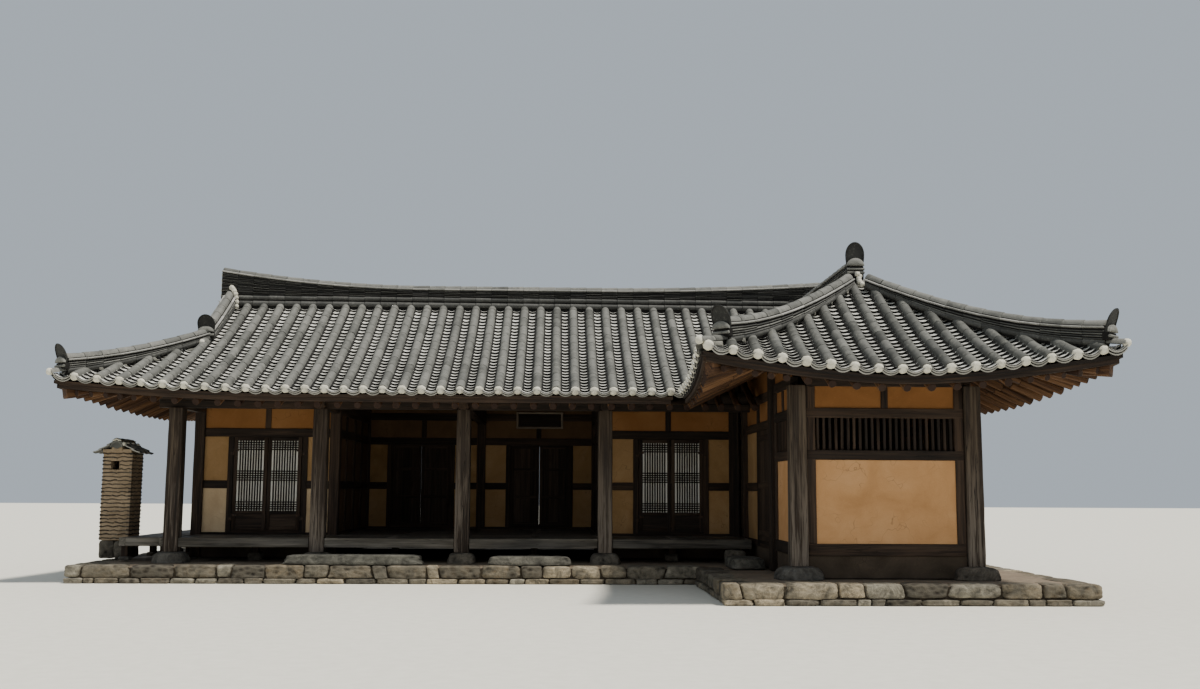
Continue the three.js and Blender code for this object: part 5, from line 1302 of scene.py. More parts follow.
def build_kitchen_walls():
    front, left, right = Line("x", Y_WING), Line("y", X_WING), Line("y", X_RIGHT)
    soup = Soup()
    slat_bay(soup, front, X_WING + POST_HALF, X_RIGHT - POST_HALF, 23)
    soup.dress("kitchen_front_wall", FRAME_LOOK, "clay_plaster")

    soup = Soup()
    slat_bay(soup, left, Y_WING + POST_HALF, Y_KITCHEN_POST - 0.12, 12)
    for y in (Y_KITCHEN_POST, Y_CORNER_POST):
        left.upright(soup, y, TERRACE, left.ceiling(y), 0.24, 0.24, bevel=0.012)
    far0, far1 = Y_KITCHEN_POST + 0.12, Y_WALL + 0.09
    for low, high in ((SILL[0], KITCHEN_FOOT), (KITCHEN_HEAD, 2.64), (2.95, 3.10)):
        left.rail(soup, far0, far1, low, high, RAIL_DEPTH)
    door_stops(soup, left, *KITCHEN_DOOR, KITCHEN_FOOT, KITCHEN_HEAD)
    left.upright(soup, -1.62, SILL[0], 2.60, 0.08, 0.118)
    left.upright(soup, -0.38, SILL[0], 2.96, 0.20, 0.118)
    left.rail(soup, -0.28, Y_CORNER_POST - 0.12, *MID_RAIL, 0.118)
    left.rail(soup, Y_CORNER_POST + 0.12, far1, *MID_RAIL, 0.116)
    left.panel(soup, -0.28, Y_CORNER_POST, KITCHEN_FOOT, KITCHEN_HEAD)
    left.panel(soup, Y_CORNER_POST, far1, KITCHEN_FOOT, KITCHEN_HEAD)
    # Foot panel in the dark foot clay: painted shadow under the floor
    left.panel(soup, far0, far1, TERRACE, SILL[0], FOOT_SHADE)
    left.panel(soup, far0, far1, 2.64, left.ceiling(0, 0.03), ORANGE)
    fixed_hinges(soup, "kitchen_door")
    soup.dress("kitchen_left_wall", FRAME_LOOK, "clay_plaster")

    soup = Soup()
    posts = [Y_KITCHEN_POST, 0.1, 1.9, 3.4]
    slat_bay(soup, right, Y_WING + POST_HALF, posts[0] - 0.09, 12)
    ends = [y - 0.09 for y in posts[1:]] + [4.76]
    framed(soup, right, [(y + 0.09, end) for y, end in zip(posts, ends)], posts, [],
           lambda u: min(3.46, right.ceiling(u)))
    soup.dress("right_side_wall", FRAME_LOOK, "clay_plaster")


def gable(soup, x, out):
    """Upright boards under the gable's edge, and curved bargeboards over their ends"""
    low, high, count = 0.51, 4.35, 19
    for i in range(count):
        y = low + (i + 0.5) * (high - low) / count
        top = tile_height(min(y - EAVE_FRONT, EAVE_BACK - y)) - 0.07
        if top > 3.95:
            rail(soup, [x, y, 3.84], [x, y, top], squared(0.03, 0.196, 0.004), TIMBER)
    for face in (FACES["main_roof_front"], FACES["main_roof_back"]):
        q = np.linspace(GABLE_Q - 0.15, RIDGE_Q - 0.02, 12)
        for a, b in zip(q[:-1], q[1:]):
            p, r = (face.at(x, v, lambda w: tile_height(w) - 0.19) + [out * 0.035, 0, 0] for v in (a, b))
            timber(soup, p, r + (r - p) * 0.01, 0.035, 0.26, TIMBER, bevel=0.006, step=9, tone=0.3)


def post(name, x, y, z1):
    """Old square post on its stone: rounded arrises, hollows and a worn foot"""
    soup, z0 = Soup(), STONE
    corners = np.array([(-1, -1), (1, -1), (1, 1), (-1, 1)], float)
    points = np.array([a + (b - a) * t for a, b in zip(corners, np.roll(corners, -1, 0))
                       for t in (0.06, 0.3, 0.5, 0.7, 0.94)]) * POST_HALF
    rings, grain = [], []
    seed = rng.uniform(0, 40)
    for z in np.concatenate([[z0, z0 + 0.012], np.linspace(z0, z1, 17)[1:-1], [z1 - 0.01, z1]]):
        f, level = (z - z0) / (z1 - z0), np.full(len(points), z)
        ring = points * (1 - 0.06 * f - (0.03 if z in (z0, z1) else 0) - 0.03 * math.exp(-f * 14))
        world = np.column_stack([ring, level])
        ring = ring - np.abs(ripple(world * [1, 1, 0.5], 9.0, seed))[:, None] * unit(ring) * 0.007
        rings.append(np.column_stack([ring + [x, y], level]))
        grain.append(np.column_stack([level, ring]) + seed)
    soup.add(np.array(rings)[:, ::-1], tube_faces(len(rings), len(points)), OLD, np.array(grain)[:, ::-1],
             rng.uniform(0.3, 0.8))
    soup.dress(name, FRAME_LOOK, "aged_timber")


def build_frame():
    for i, x in enumerate((X_LEFT, X_HALL, X_MIDDLE, X_RIGHT_ROOM)):
        post(f"porch_post_{i + 1}", x, Y_FRONT, PLATE)
    for name, x in (("wing_post_left", X_WING), ("wing_post_right", X_RIGHT)):
        post(name, x, Y_WING, 3.02)
    for name, x, front_end in (("hall_beam_left", X_HALL, -0.2), ("hall_beam_middle", X_MIDDLE, -0.2),
                               ("hall_beam_right", X_RIGHT_ROOM, -0.2), ("left_gable_frame", X_LEFT, 0.09)):
        soup = Soup()
        timber(soup, [x, front_end, BEAM], [x, Y_BACK + 0.1, BEAM], 0.17, 0.3, TIMBER, bevel=0.035,
               rough=0.004)
        timber(soup, [x, RIDGE_Y, 3.14], [x, RIDGE_Y, 4.05], 0.14, 0.2, TIMBER)
        if name == "left_gable_frame":
            gable(soup, X_LEFT + 0.02, -1)
            Line("y", x).panel(soup, 1.44, 4.76, 3.14, 3.78)
        soup.dress(name, FRAME_LOOK, "dark_timber")
    soup = Soup()
    gable(soup, X_RIGHT - 0.02, 1)
    soup.dress("right_gable_wall", FRAME_LOOK, "dark_timber")
    # Each purlin's line, its bearer's ends and levels, and the round timber's ends, level and radius
    for name, y, bearer, x0, x1, z, radius in (
            ("porch_purlin", Y_FRONT, (-0.3, PORCH_END, PLATE, 2.98, 0.11), -0.42, 9.68, 3.09, 0.115),
            ("ridge_purlin", RIDGE_Y, (0.1, 12.2, 4.03, 4.16, 0.12), 0.1, 12.2, 4.25, 0.13)):
        soup = Soup()
        Line("x", y).rail(soup, *bearer)
        log(soup, [x0, y, z], [x1, y, z], radius, TIMBER, 14, rough=0.004)
        soup.dress(name, FRAME_LOOK, "dark_timber")


FLOOR_LOOK = [FLOOR_WOOD, DARK_WOOD, OCHRE_CLAY, BASE_STONE]
BOARDS, JOIST, CLAY, FOOT_STONE = range(4)
GIRDER = (0.645, 0.13, 0.11)             # level, width and depth


def planks(soup, x0, x1, y0, y1, across=False, width=0.2):
    """Short boards between two girders, edge to edge"""
    low, high = (x0, x1) if across else (y0, y1)
    count = max(1, round((high - low) / width))
    cuts = np.linspace(low, high, count + 1)
    cuts[1:-1] += jitter(0.02, count - 1)
    for a, b in zip(cuts[:-1], cuts[1:]):
        middle, z = (a + b) / 2, FLOOR - 0.02 + rng.uniform(-0.002, 0)
        ends = ([middle, y0, z], [middle, y1, z]) if across else ([x0, middle, z], [x1, middle, z])
        timber(soup, *ends, b - a - 0.003, 0.035, BOARDS, bevel=0.003, step=0.6, rough=0.0005)


def level_timber(soup, x0, x1, y0, y1, z, *more, **named):
    """Timber that lies level, with its width and depth next"""
    timber(soup, [x0, y0, z], [x1, y1, z], *more, **named)


def build_floors():
    soup = Soup()
    # Long edge beams, girders from the front to the back, and boards between them
    for a, b in ((0.13, 2.27), (2.53, 4.67), (4.93, 7.07), (7.33, PORCH_END)):
        level_timber(soup, a, b, -0.05, -0.05, 0.62, 0.12, 0.155, bevel=0.01)
    girders = [0.13, 1.2, X_HALL, 3.6, X_MIDDLE, 6.0, X_RIGHT_ROOM, 8.4, 9.6]
    for x in girders:
        front_end = 0.14 if x in (X_HALL, X_MIDDLE, X_RIGHT_ROOM) else 0.01
        level_timber(soup, x, x, front_end, 1.28, *GIRDER, bevel=0.005)
    for a, b in zip(girders[:-1], girders[1:]):
        planks(soup, a + 0.066, b - 0.066, 0.012, 1.28)
        level_timber(soup, (a + b) / 2, (a + b) / 2, 0.0, 1.28, 0.61, 0.09, 0.12, JOIST)
    level_timber(soup, 0.06, PORCH_END, 1.23, 1.23, 0.615, 0.11, 0.14, JOIST)
    girders = [2.53, 3.6, X_MIDDLE, 6.0, 7.07]
    for x in girders:
        level_timber(soup, x, x, 1.42, 4.78, *GIRDER, bevel=0.005)
    for a, b in zip(girders[:-1], girders[1:]):
        planks(soup, a + 0.066, b - 0.066, 1.285, 4.78)
    level_timber(soup, 2.47, 7.13, 3.06, 3.06, 0.60, 0.11, 0.11, JOIST)
    soup.dress("hall_floor", FLOOR_LOOK, "floor_planks")

    soup = Soup()
    for x in (-0.84, -0.19):
        level_timber(soup, x, x, 0.05, 4.5, 0.62, 0.1, 0.14, bevel=0.01)
    for y in (0.11, 1.55, 3.0, 4.44):
        level_timber(soup, -0.79, -0.24, y, y, 0.62, 0.11, 0.14)
    for a, b in ((0.165, 1.495), (1.605, 2.945), (3.055, 4.385)):
        planks(soup, -0.785, -0.245, a, b, across=True, width=0.18)
    for y, x in itertools.product((0.2, 1.6, 3.0, 4.35), (-0.83, -0.19)):
        timber(soup, [x, y, 0.37], [x, y, 0.57], 0.11, 0.11, JOIST, bevel=0.012)
        stone(soup, (x - 0.11, y - 0.1, 0.30), (x + 0.11, y + 0.1, 0.38), FOOT_STONE, 0.08, 4, SMALL_CUBE)
    soup.dress("side_veranda", FLOOR_LOOK, "floor_planks")

    y0, y1 = 1.41, 4.79
    for name, a, b in (("left_room_floor", 0.061, 2.339), ("right_room_floor", 7.261, 9.739)):
        soup = Soup()
        y, x = np.meshgrid(np.linspace(y0, y1, 24), np.linspace(a, b, 16), indexing="ij")
        uneven = ripple(np.stack([x.ravel(), y.ravel(), x.ravel()], -1), 2.5).reshape(x.shape)
        sheet(soup, np.stack([x, y, 0.695 + 0.002 * uneven], -1), CLAY)
        for line, u0, u1 in ((Line("x", y0 + 0.015), a, b), (Line("x", y1 - 0.015), a, b),
                             (Line("y", a + 0.015), y0, y1), (Line("y", b - 0.015), y0, y1)):
            line.panel(soup, u0, u1, TERRACE + 0.001, 0.694, CLAY, 0.03)
        soup.dress(name, FLOOR_LOOK, "clay_plaster")


# ---- Doors ----

LEAF_LOOK = [DOOR_WOOD, PAPER, IRON, BAR_WOOD]
PAPERED, IRONED, BARRED = 1, 2, 3


def leaf_hinges(soup, leaf):
    """The leaf's halves of its hinges, with a strap each"""
    for z in leaf.hinges(soup, IRONED, 0.0005, 0.06):
        leaf.box(soup, 0.0, 0.085, -0.005, 0.001, z + 0.008, z + 0.05, IRONED, 0.001, upright=False)


def lattice_leaf(soup, leaf):
    """Stiles and rails, a wooden foot panel, and fine bars over white paper"""
    stile, depth, width, height = 0.064, 0.045, leaf.width, leaf.height
    left, right, low, high = stile, width - stile, 0.34, height - stile
    board_top = 0.285
    leaf.box(soup, 0, left, 0, depth, 0, height)
    leaf.box(soup, right, width, 0, depth, 0, height)
    for z0, z1 in ((0, stile), (board_top, low), (high, height)):
        leaf.box(soup, left - 0.004, right + 0.004, 0.001, depth - 0.001, z0, z1, upright=False)
    leaf.box(soup, left, right, 0.014, 0.03, stile, board_top, upright=False)
    for v in (0.021, 0.023):
        flat = np.array([leaf.at(left + (right - left) * j / 8, v, low + (high - low) * i / 12)
                         for i, j in itertools.product(range(13), range(9))])
        flat += np.outer(0.001 * ripple(flat, 9.0, left), leaf.inward)
        sheet(soup, flat.reshape(13, 9, 3), PAPERED, grain=flat + rng.uniform(0, 9))
    for i in range(1, 10):
        u = left + (right - left) * i / 10
        leaf.box(soup, u - 0.0125, u + 0.0125, 0.004, 0.02, low, high, BARRED, 0.001)
    pitch = 0.040
    for start, bars in ((high - 0.035, 4), ((low + high) / 2 + 2 * pitch, 5), (low + 0.035 + 3 * pitch, 4)):
        for i in range(bars):
            z = start - i * pitch
            leaf.box(soup, left, right, 0.007, 0.019, z - 0.011, z + 0.011, BARRED, 0.001, upright=False)
    leaf_hinges(soup, leaf)


def ring_pull(soup, leaf):
    """Iron ring that hangs near the meeting edge"""
    radius = 0.026
    ring = [leaf.at(leaf.width - 0.028 + radius * math.sin(t), -0.004, 0.62 - radius - radius * math.cos(t))
            for t in np.linspace(0, 2 * math.pi, 13)]
    for a, b in zip(ring[:-1], ring[1:]):
        log(soup, a, b, 0.0028, IRONED, 6, step=1, bevel=0.0002, rough=0)


def plank_leaf(soup, leaf, boards, front, back, core):
    """Upright boards held by battens outside, over a core that closes the joints between them"""
    width, height = leaf.width, leaf.height
    cuts = np.linspace(0, width, boards + 1)
    for a, b in zip(cuts[:-1], cuts[1:]):
        leaf.box(soup, a + 0.0015, b - 0.0015, front, back, 0, height)
    leaf.box(soup, 0.002, width - 0.002, 0.010, core, 0.004, height - 0.004)
    for z in (0.07 * height, 0.5 * height, 0.93 * height):
        leaf.box(soup, 0.11, width - 0.02, -0.008, 0.02, z - 0.045, z + 0.045, bevel=0.006, upright=False)


def hall_leaf(soup, leaf):
    """Plank leaf with a frame and three panels inside"""
    stile, width, height = 0.06, leaf.width, leaf.height
    plank_leaf(soup, leaf, 3, 0.006, 0.030, 0.026)
    leaf.box(soup, 0, stile, 0.028, 0.045, 0, height)
    leaf.box(soup, width - stile, width, 0.028, 0.045, 0, height)
    for z0, z1 in ((0, stile), (0.55, 0.61), (1.12, 1.18), (height - stile, height)):
        leaf.box(soup, stile, width - stile, 0.028, 0.044, z0, z1, upright=False)
    leaf_hinges(soup, leaf)


def build_doors():
    for name, leaf in LEAVES.items():
        soup = Soup()
        if "room" in name:
            lattice_leaf(soup, leaf)
            if name.endswith("left"):
                ring_pull(soup, leaf)
        elif name == "kitchen_door":
            plank_leaf(soup, leaf, 6, 0.002, 0.045, 0.04)
            leaf_hinges(soup, leaf)
        else:
            hall_leaf(soup, leaf)
        soup.dress(name, LEAF_LOOK, "door_paper" if "room" in name else "dark_timber",
                   body=name.replace("_door", "") + "_leaf")


def build_board():
    """Name board, left blank: a dark panel in a pale rim"""
    soup, rim = Soup(), 1
    y = Y_BACK - 0.06
    level_timber(soup, 5.56, 6.48, y - 0.0125, y - 0.0125, 2.955, 0.02, 0.28, step=0.3)
    y -= 0.0225
    for z in (2.80, 3.11):
        level_timber(soup, 5.53, 6.51, y, y, z, 0.04, 0.04, rim, bevel=0.01)
    for x in (5.553, 6.487):
        timber(soup, [x, y, 2.78], [x, y, 3.13], 0.045, 0.04, rim, bevel=0.01)
    soup.dress("name_board", [DARK_WOOD, BOARD_WOOD], "dark_timber")


# ---- Terrace, stones and chimney ----

STONE_LOOK = [TERRACE_STONE, EARTH, BASE_STONE, STEP_STONE, DARK_WOOD, JOINT_SHADE_EARTH]
EDGING, PACKED, BASE, STEP, LEG, JOINT_SHADE = range(6)


def stone_run(soup, start, end, inward, z0, z1, mean, depth, inset):
    """One course of edging stones with slanting joints, their outer faces just inside the terrace's edge"""
    start, end, inward = np.array(start, float), np.array(end, float), np.array(inward, float)
    length = np.linalg.norm(end - start)
    along = (end - start) / length
    count = max(1, round(length / mean))
    weights = rng.uniform(0.4, 1.7, count)
    cuts = np.concatenate([[0], np.cumsum(weights)]) / weights.sum() * length
    slants = jitter(0.3, count + 1) * (z1 - z0)
    slants[[0, -1]] = 0
    points, faces = STONE_CUBE
    if along[0] * inward[1] - along[1] * inward[0] < 0:
        faces = faces[:, ::-1]
    for k in range(count):
        p = pulled_in(points, rng.uniform(5, 10))
        seed = rng.uniform(0, 60)
        bump = ripple(p * [2.2, 1.2, 0.8] + seed, 1.7, seed)
        bump += 0.5 * ripple(p * [3, 1.4, 1.2] + seed, 4.0, seed * 2)
        p = (np.clip(p * (0.98 + 0.04 * bump[:, None]), -1, 1) + 1) / 2
        high = z1 - rng.uniform(0, 0.06) * (z1 - z0)
        low = z0 + jitter(0.02) * (z0 > 0.01)
        z = low + (high - low) * p[:, 2]
        tall = (z - z0) / (z1 - z0) - 0.5
        left = cuts[k] + 0.003 + slants[k] * tall
        right = cuts[k + 1] - 0.003 + slants[k + 1] * tall
        u = np.clip(left + (right - left) * p[:, 0], 0, length)
        rough = 0.014 * (1 + ripple(np.column_stack([u, z, z]) + seed, 7.0, seed)) / 2
        front = inset + rng.uniform(0.0, 0.018) + rough
        v = front + (depth * rng.uniform(0.85, 1.2) - front) * p[:, 1]
        world = np.column_stack([start + np.outer(u, along) + np.outer(v, inward), z])
        soup.add(world, faces, EDGING, world + seed, rng.uniform())


def terrace(name, x0, x1, y0, y1, edges, stones):
    """Packed earth inside two courses of edging stones, with base stones (x, y, length, depth) on it"""
    soup = Soup()
    cols, rows = math.ceil((x1 - x0) / 0.2), math.ceil((y1 - y0) / 0.2)
    y, x = np.meshgrid(np.linspace(y0, y1, rows + 1), np.linspace(x0, x1, cols + 1), indexing="ij")
    flat = np.stack([x.ravel(), y.ravel(), x.ravel() * 0], -1)
    edge = np.minimum.reduce([flat[:, 0] - x0, x1 - flat[:, 0], flat[:, 1] - y0, y1 - flat[:, 1]]) < 0.01
    flat[:, 2] = 0.285 + 0.006 * ripple(flat, 1.7) + 0.003 * ripple(flat, 6.0) - 0.04 * edge
    sheet(soup, flat.reshape(rows + 1, cols + 1, 3), PACKED)
    for start, end, inward in edges:
        i = 0 if start[1] == end[1] else 1
        line = Line("xy"[i], start[1 - i] + 0.10 * inward[1 - i])
        # Near-black sheet behind the stones: painted shade in their joints
        line.panel(soup, start[i] + 0.1, end[i] - 0.1, 0.0, 0.25, JOINT_SHADE, 0.02)
        stone_run(soup, start, end, inward, 0.0, 0.088, 0.40, 0.3, 0.0)
        stone_run(soup, start, end, inward, 0.084, 0.30, 0.50, 0.42, 0.014)
    for x, y, length, depth in stones:
        stone(soup, (x - length / 2, y - depth / 2, TERRACE - 0.06), (x + length / 2, y + depth / 2, STONE),
              BASE, 0.05, 4.5, taper=0.80)
    if name == "main_terrace":
        stone(soup, (9.2, -0.3, 0.27), (9.56, 0.04, 0.54), BASE, 0.06, 5)
        for x in (1.2, 3.6, 6.0, 8.4):
            stone(soup, (x - 0.13, 0.62, 0.27), (x + 0.13, 0.88, 0.42), BASE, 0.06, 4)
            timber(soup, [x, 0.75, 0.41], [x, 0.75, 0.60], 0.12, 0.12, LEG)
    soup.dress(name, STONE_LOOK, "rough_stone")


def build_terrace():
    inner, behind = 0.1, 0.3             # side edges start behind the depth of the front one
    terrace("main_terrace", T_LEFT + inner, T_RIGHT - inner, T_FRONT + inner, T_BACK - inner,
            [((T_LEFT, T_FRONT), (T_WING_LEFT + 0.16, T_FRONT), (0, 1)),
             ((T_LEFT, T_FRONT + behind), (T_LEFT, T_BACK), (1, 0)),
             ((T_LEFT + behind, T_BACK), (T_RIGHT, T_BACK), (0, -1)),
             ((T_RIGHT, T_FRONT), (T_RIGHT, T_BACK - behind), (-1, 0))],
            [(X_LEFT, 0, 0.62, 0.56), (X_HALL, 0, 0.56, 0.52), (X_MIDDLE, 0, 0.52, 0.50),
             (X_RIGHT_ROOM, 0, 0.56, 0.52), (X_RIGHT, Y_BACK, 0.6, 0.56), (X_LEFT, Y_BACK, 0.6, 0.56)])
    terrace("wing_terrace", T_WING_LEFT + inner, T_RIGHT - inner, T_WING_FRONT + inner, T_FRONT + 0.11,
            [((T_WING_LEFT, T_WING_FRONT), (T_RIGHT, T_WING_FRONT), (0, 1)),
             ((T_WING_LEFT, T_WING_FRONT + behind), (T_WING_LEFT, T_FRONT), (1, 0)),
             ((T_RIGHT, T_WING_FRONT + behind), (T_RIGHT, T_FRONT), (-1, 0))],
            [(X_WING, Y_WING, 0.74, 0.62), (X_RIGHT, Y_WING, 0.70, 0.62)])
    for name, x0, x1, y0, y1, z1 in (("long_step_stone", 1.95, 4.25, -0.73, -0.33, 0.46),
                                     ("short_step_stone", 5.25, 6.65, -0.73, -0.33, 0.44),
                                     ("kitchen_step_stone", 9.1, 9.66, -1.65, -0.65, 0.47)):
        soup = Soup()
        stone(soup, (x0, y0, 0.29), (x1, y1, z1), STEP, 0.03, 9, STEP_CUBE, 0.93)
        soup.dress(name, STONE_LOOK, "rough_stone")


CHIMNEY_LOOK = [CHIMNEY_TILE, CHIMNEY_MORTAR, BASE_STONE, ROOF_TILE, LIME, LIT_PAN_EDGE]
SMOKY_TILE, MORTAR, DARK_STONE, CAP_TILE, CAP_LIME, LIT_CAP_EDGE = range(6)
STACK = (-1.44, -0.925, 0.60, 1.16)
HOLE = (STACK[0] + 0.15, STACK[0] + 0.29, 1.82, 1.97)       # of the flue, in the front
SHAFT = (0.62, 2.115)                    # the mortar shaft's foot and top
COURSES = 0.645 + 0.0655 * np.arange(23)


def build_chimney():
    x0, x1, y0, y1 = STACK
    soup = Soup()
    for low, high, top in (((x0, y0 - 0.02), (x0 + 0.27, y1 + 0.02), 0.63),
                           ((x0 + 0.25, y0 - 0.02), (x1 + 0.01, y1 + 0.02), 0.62)):
        stone(soup, (*low, 0.30), (*high, top), DARK_STONE, 0.05, 8)
    # Mortar shaft round a flue: each wall's plan, with the front one in two parts beside the smoke hole
    thick, inset = 0.13, 0.012
    front = [(x0 + inset, x1 - inset, y0 + inset, y0 + thick)]
    beside = [(x0 + inset, HOLE[0], *front[0][2:]), (HOLE[1], x1 - inset, *front[0][2:])]
    others = [(x0 + inset, x1 - inset, y1 - thick, y1 - inset),
              (x0 + inset, x0 + thick, y0 + thick + inset, y1 - thick),
              (x1 - thick, x1 - inset, y0 + thick + inset, y1 - thick)]
    for z0, z1, first in ((SHAFT[0], HOLE[2], front), (HOLE[2], HOLE[3], beside), (HOLE[3], SHAFT[1], front)):
        for a0, a1, b0, b1 in first + others:
            mortar_block(soup, (a0, b0, z0), (a1, b1, z1))
    # Wavy tile courses that stand a little proud of the mortar
    corners = np.array([(x0, y0), (x1, y0), (x1, y1), (x0, y1)])
    for z in COURSES:
        for side, (a, b) in enumerate(zip(corners, np.roll(corners, -1, 0))):
            length = np.linalg.norm(b - a)
            along = (b - a) / length
            inward = np.array([-along[1], along[0]])
            pieces = rng.integers(2, 4)
            cuts = np.linspace(0, length, pieces + 1)
            cuts[1:-1] += jitter(0.03, pieces - 1)
            for c0, c1 in zip(cuts[:-1], cuts[1:]):
                spans = [(c0, c1)]
                if side == 0 and HOLE[2] - 0.01 < z < HOLE[3] + 0.01:
                    spans = [(c0, min(c1, HOLE[0] - x0)), (max(c0, HOLE[1] - x0), c1)]
                    spans = [span for span in spans if span[1] - span[0] > 0.03]
                for span in spans:
                    course_tile(soup, a, along, inward, *span, z)
    soup.dress("chimney_stack", CHIMNEY_LOOK, "chimney_tile")


def mortar_block(soup, low, high):
    """Plain block, cut into cells for its texture"""
    low, high = np.array(low), np.array(high)
    world = (low + high) / 2 + SMALL_CUBE[0] * (high - low) / 2
    soup.add(world, SMALL_CUBE[1], MORTAR, world, 0.5)


def course_tile(soup, a, along, inward, c0, c1, z):
    """Curved piece of tile bedded flat in the stack, its edge a little proud of the mortar"""
    t = np.linspace(c0 + 0.003, c1 - 0.003, max(3, int((c1 - c0) / 0.03)))
    wave = 0.004 * np.sin(t * 37 + rng.uniform(0, 6)) + jitter(0.004)
    droop = 0.007 * np.cos((t - c0) / (c1 - c0) * 2 * math.pi + jitter(0.6)) * rng.choice([-1, 1])
    proud = rng.uniform(0.0, 0.006)
    thick = rng.uniform(0.017, 0.024)
    section = [(0.05, 0), (proud + 0.004, 0), (proud, 0.5), (proud + 0.004, 1), (0.05, 1)]
    rings = [[[*(a + along * s + inward * v), h + thick * part] for v, part in section]
             for s, h in zip(t, z + wave + droop)]
    add_tube(soup, rings, SMOKY_TILE, (0.1, 0.9), 20)


def arch(soup, centre, right, forward, radius, thick, depth):
    """Half-round tile end seen from the front: an arch of a given thickness"""
    rings = []
    for t in np.linspace(0, math.pi, 11):
        direction = math.cos(t) * right + math.sin(t) * UP
        inner, outer = centre + direction * (radius - thick), centre + direction * radius
        rings.append([inner, outer, outer + forward * depth, inner + forward * depth])
    add_tube(soup, rings, CAP_TILE, (0.2, 0.8))


def build_cap():
    """The chimney's small gabled roof: curved tiles out to both sides and a short ridge with lime ends"""
    x0, x1, y0, y1 = STACK
    soup = Soup()
    cx = (x0 + x1) / 2
    front, back = y0 - 0.085, y1 + 0.085
    rows = np.linspace(front, back, 4)
    profile = np.array([(0.06, 2.245), (0.14, 2.20), (0.25, 2.155), (0.33, 2.12), (0.395, 2.105)]).T
    for side in (-1, 1):
        for ya, yb in zip(rows[:-1], rows[1:]):
            for inner, outer, rise in ((0.25, 0.395, 0.0), (0.12, 0.30, 0.018), (0.03, 0.17, 0.038)):
                u, v = np.meshgrid(np.linspace(inner, outer, 4), np.linspace(-0.5, 0.5, 5), indexing="ij")
                z = np.interp(u, *profile) + rise + 0.08 * v * v
                y = (ya + yb) / 2 + v * (yb - ya) * 0.98
                pair = np.array([np.stack([cx + side * u, y, z + level], -1) for level in (0.004, -0.012)])
                tone = rng.uniform()
                sheet(soup, pair[0], CAP_TILE, tone, flip=side < 0)
                sheet(soup, pair[1], CAP_TILE, tone, flip=side > 0)
                # The sheets' edges are in the pale edge colour: painted highlight
                sheet(soup, pair[:, -1], LIT_CAP_EDGE, tone, flip=side > 0)
                for end in (0, -1):
                    sheet(soup, pair[:, :, end], LIT_CAP_EDGE, tone)
    mortar_block(soup, (cx - 0.24, front + 0.05, SHAFT[1]), (cx + 0.24, back - 0.05, 2.17))
    mortar_block(soup, (cx - 0.09, front + 0.03, 2.15), (cx + 0.09, back - 0.03, 2.25))
    # Ridge: two courses and half-round tiles, closed by lime in front and behind
    x_axis = np.array([1.0, 0, 0])
    for width, z in ((0.2, 2.235), (0.17, 2.262)):
        slab(soup, np.array([cx, front, 0]), np.array([cx, back, 0]), x_axis, x_axis, width, (z, z), 0.022,
             CAP_TILE)
    for a, b in zip(rows[:-1], rows[1:]):
        half_round(soup, (cx, a, 2.288), (cx, b + 0.01, 2.288), 0.078, CAP_TILE)
    for y, out in ((front, -1), (back, 1)):
        forward = np.array([0, out * 1.0, 0])
        right = np.cross(forward, UP)
        centre = np.array([cx, y - out * 0.01, 0])
        arch(soup, centre + UP * 2.205, right, forward, 0.105, 0.022, 0.02)
        arch(soup, centre + UP * 2.20, right, forward, 0.082, 0.06, 0.012)
        for step in (-1, 0, 1):
            lump(soup, [cx + 0.045 * step, y - out * 0.004, 2.338 - 0.014 * abs(step)], (0.034, 0.018, 0.014),
                 CAP_LIME)
        lump(soup, [cx, y - out * 0.012, 2.215], (0.05, 0.014, 0.04), CAP_TILE)
        lump(soup, [cx + 0.118, y - out * 0.03, 2.262], (0.038, 0.038, 0.036), CAP_LIME)
    # Two cover tiles down each side, each from a lime ball
    for side in (-1, 1):
        for y in rows[1:-1]:
            half_round(soup, (cx + side * 0.385, y, 2.125), (cx + side * 0.1, y, 2.245), 0.045, CAP_TILE)
            lump(soup, [cx + side * 0.10, y, 2.262], (0.042, 0.042, 0.036), CAP_LIME)
    soup.dress("chimney_cap", CHIMNEY_LOOK, "roof_tile")


for build in (build_walls, build_kitchen_walls, build_frame, build_floors, build_doors, build_board,
              build_terrace, build_chimney, build_cap):
    build()


# ---- Floor, light and camera ----

REACH = 90                   # of the pale floor, each way
EYE = np.array([6.3622, -20.2357, 1.5318])


def link(name, data):
    thing = bpy.data.objects.new(name, data)
    bpy.context.scene.collection.objects.link(thing)
    return thing


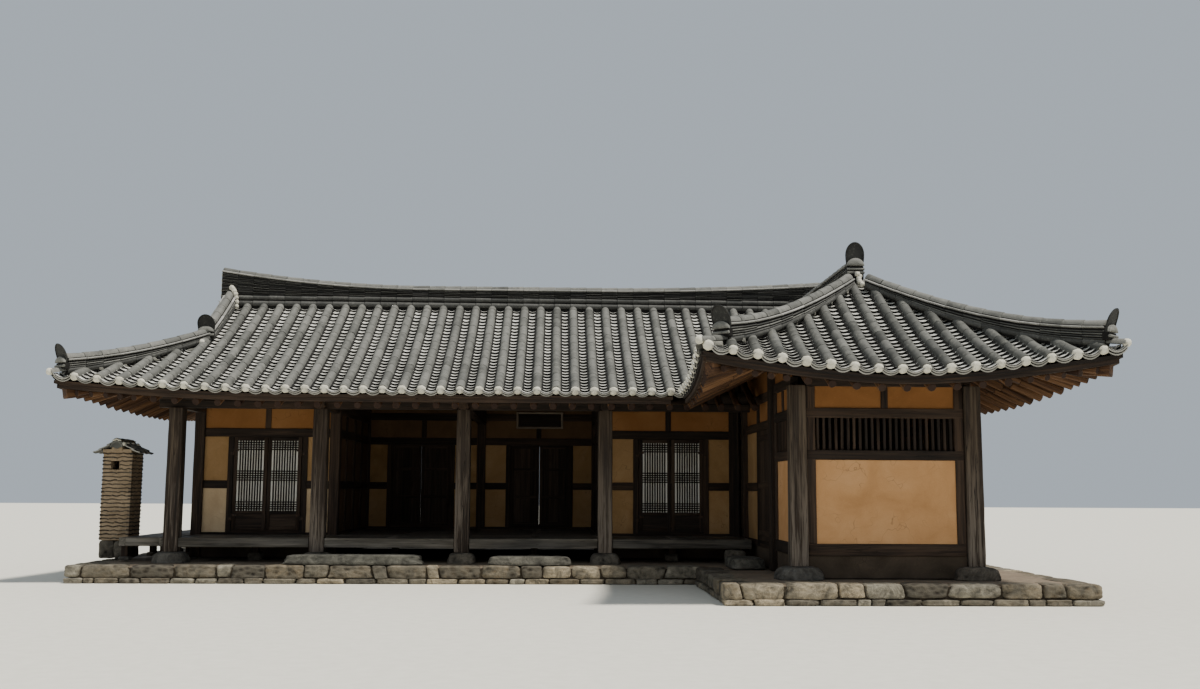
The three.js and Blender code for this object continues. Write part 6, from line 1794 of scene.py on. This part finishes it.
def studio():
    """Pale floor and soft daylight"""
    pale = Look("pale_floor", 0.9)
    mottle = pale.noise(pale.node("ShaderNodeTexCoord", "Object"), 6.0, 4)
    pale.finish(pale.ramp(mottle, (0.3, (0.66, 0.64, 0.56)), (0.7, (0.72, 0.70, 0.62))))
    mesh = bpy.data.meshes.new("studio_floor")
    corners = [(-REACH, -REACH), (REACH, -REACH), (REACH, REACH), (-REACH, REACH)]
    mesh.from_pydata([(x, y, -0.001) for x, y in corners], [], [(0, 1, 2, 3)])
    mesh.materials.append(pale.material)
    link("studio_floor", mesh)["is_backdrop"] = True
    world = bpy.data.worlds.new("studio")
    world.use_nodes = True
    for socket, value in zip(world.node_tree.nodes["Background"].inputs, ((0.80, 0.90, 1.0, 1), 0.56)):
        socket.default_value = value
    bpy.context.scene.world = world
    # A high lamp from the right, as the photograph's shadows fall, and a weak broad one from the front
    for name, direction, angle, power, color in (
            ("key", (-0.36, 0.20, -0.91), 6, 5.4, (1.0, 0.955, 0.88)),
            ("fill", (0.15, 0.92, -0.25), 60, 0.36, (1.0, 0.97, 0.93))):
        lamp = bpy.data.lights.new(name, "SUN")
        lamp.angle, lamp.energy, lamp.color = math.radians(angle), power, color
        link(name, lamp).rotation_euler = look_rotation(direction).to_euler()


def look_rotation(direction, roll=0.0):
    """Rotation of a lamp or camera that looks along a direction"""
    back = -Vector(direction).normalized()
    right = Vector((0, 0, 1)).cross(back).normalized()
    up = back.cross(right)
    turned_right = right * math.cos(roll) + up * math.sin(roll)
    turned_up = up * math.cos(roll) - right * math.sin(roll)
    return Matrix((turned_right, turned_up, back)).transposed()


def photo_camera():
    """Where the photograph was taken from: eye height, 20 m before the front posts"""
    yaw, pitch, roll = 0.0365, 0.1211, 0.0051
    forward = (math.sin(yaw) * math.cos(pitch), math.cos(yaw) * math.cos(pitch), math.sin(pitch))
    data = bpy.data.cameras.new("photo_camera")
    data.sensor_width, data.lens, data.clip_end = 36, 35.62, 300
    camera = link("photo_camera", data)
    matrix = look_rotation(forward, roll).to_4x4()
    matrix.translation = ORIGIN + EYE
    camera.matrix_world = matrix
    bpy.context.scene.camera = camera


studio()
photo_camera()
boxes = {"cad": cad_box, "visual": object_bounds()}
{key: [list(corner) for corner in value] for key, value in boxes.items()}
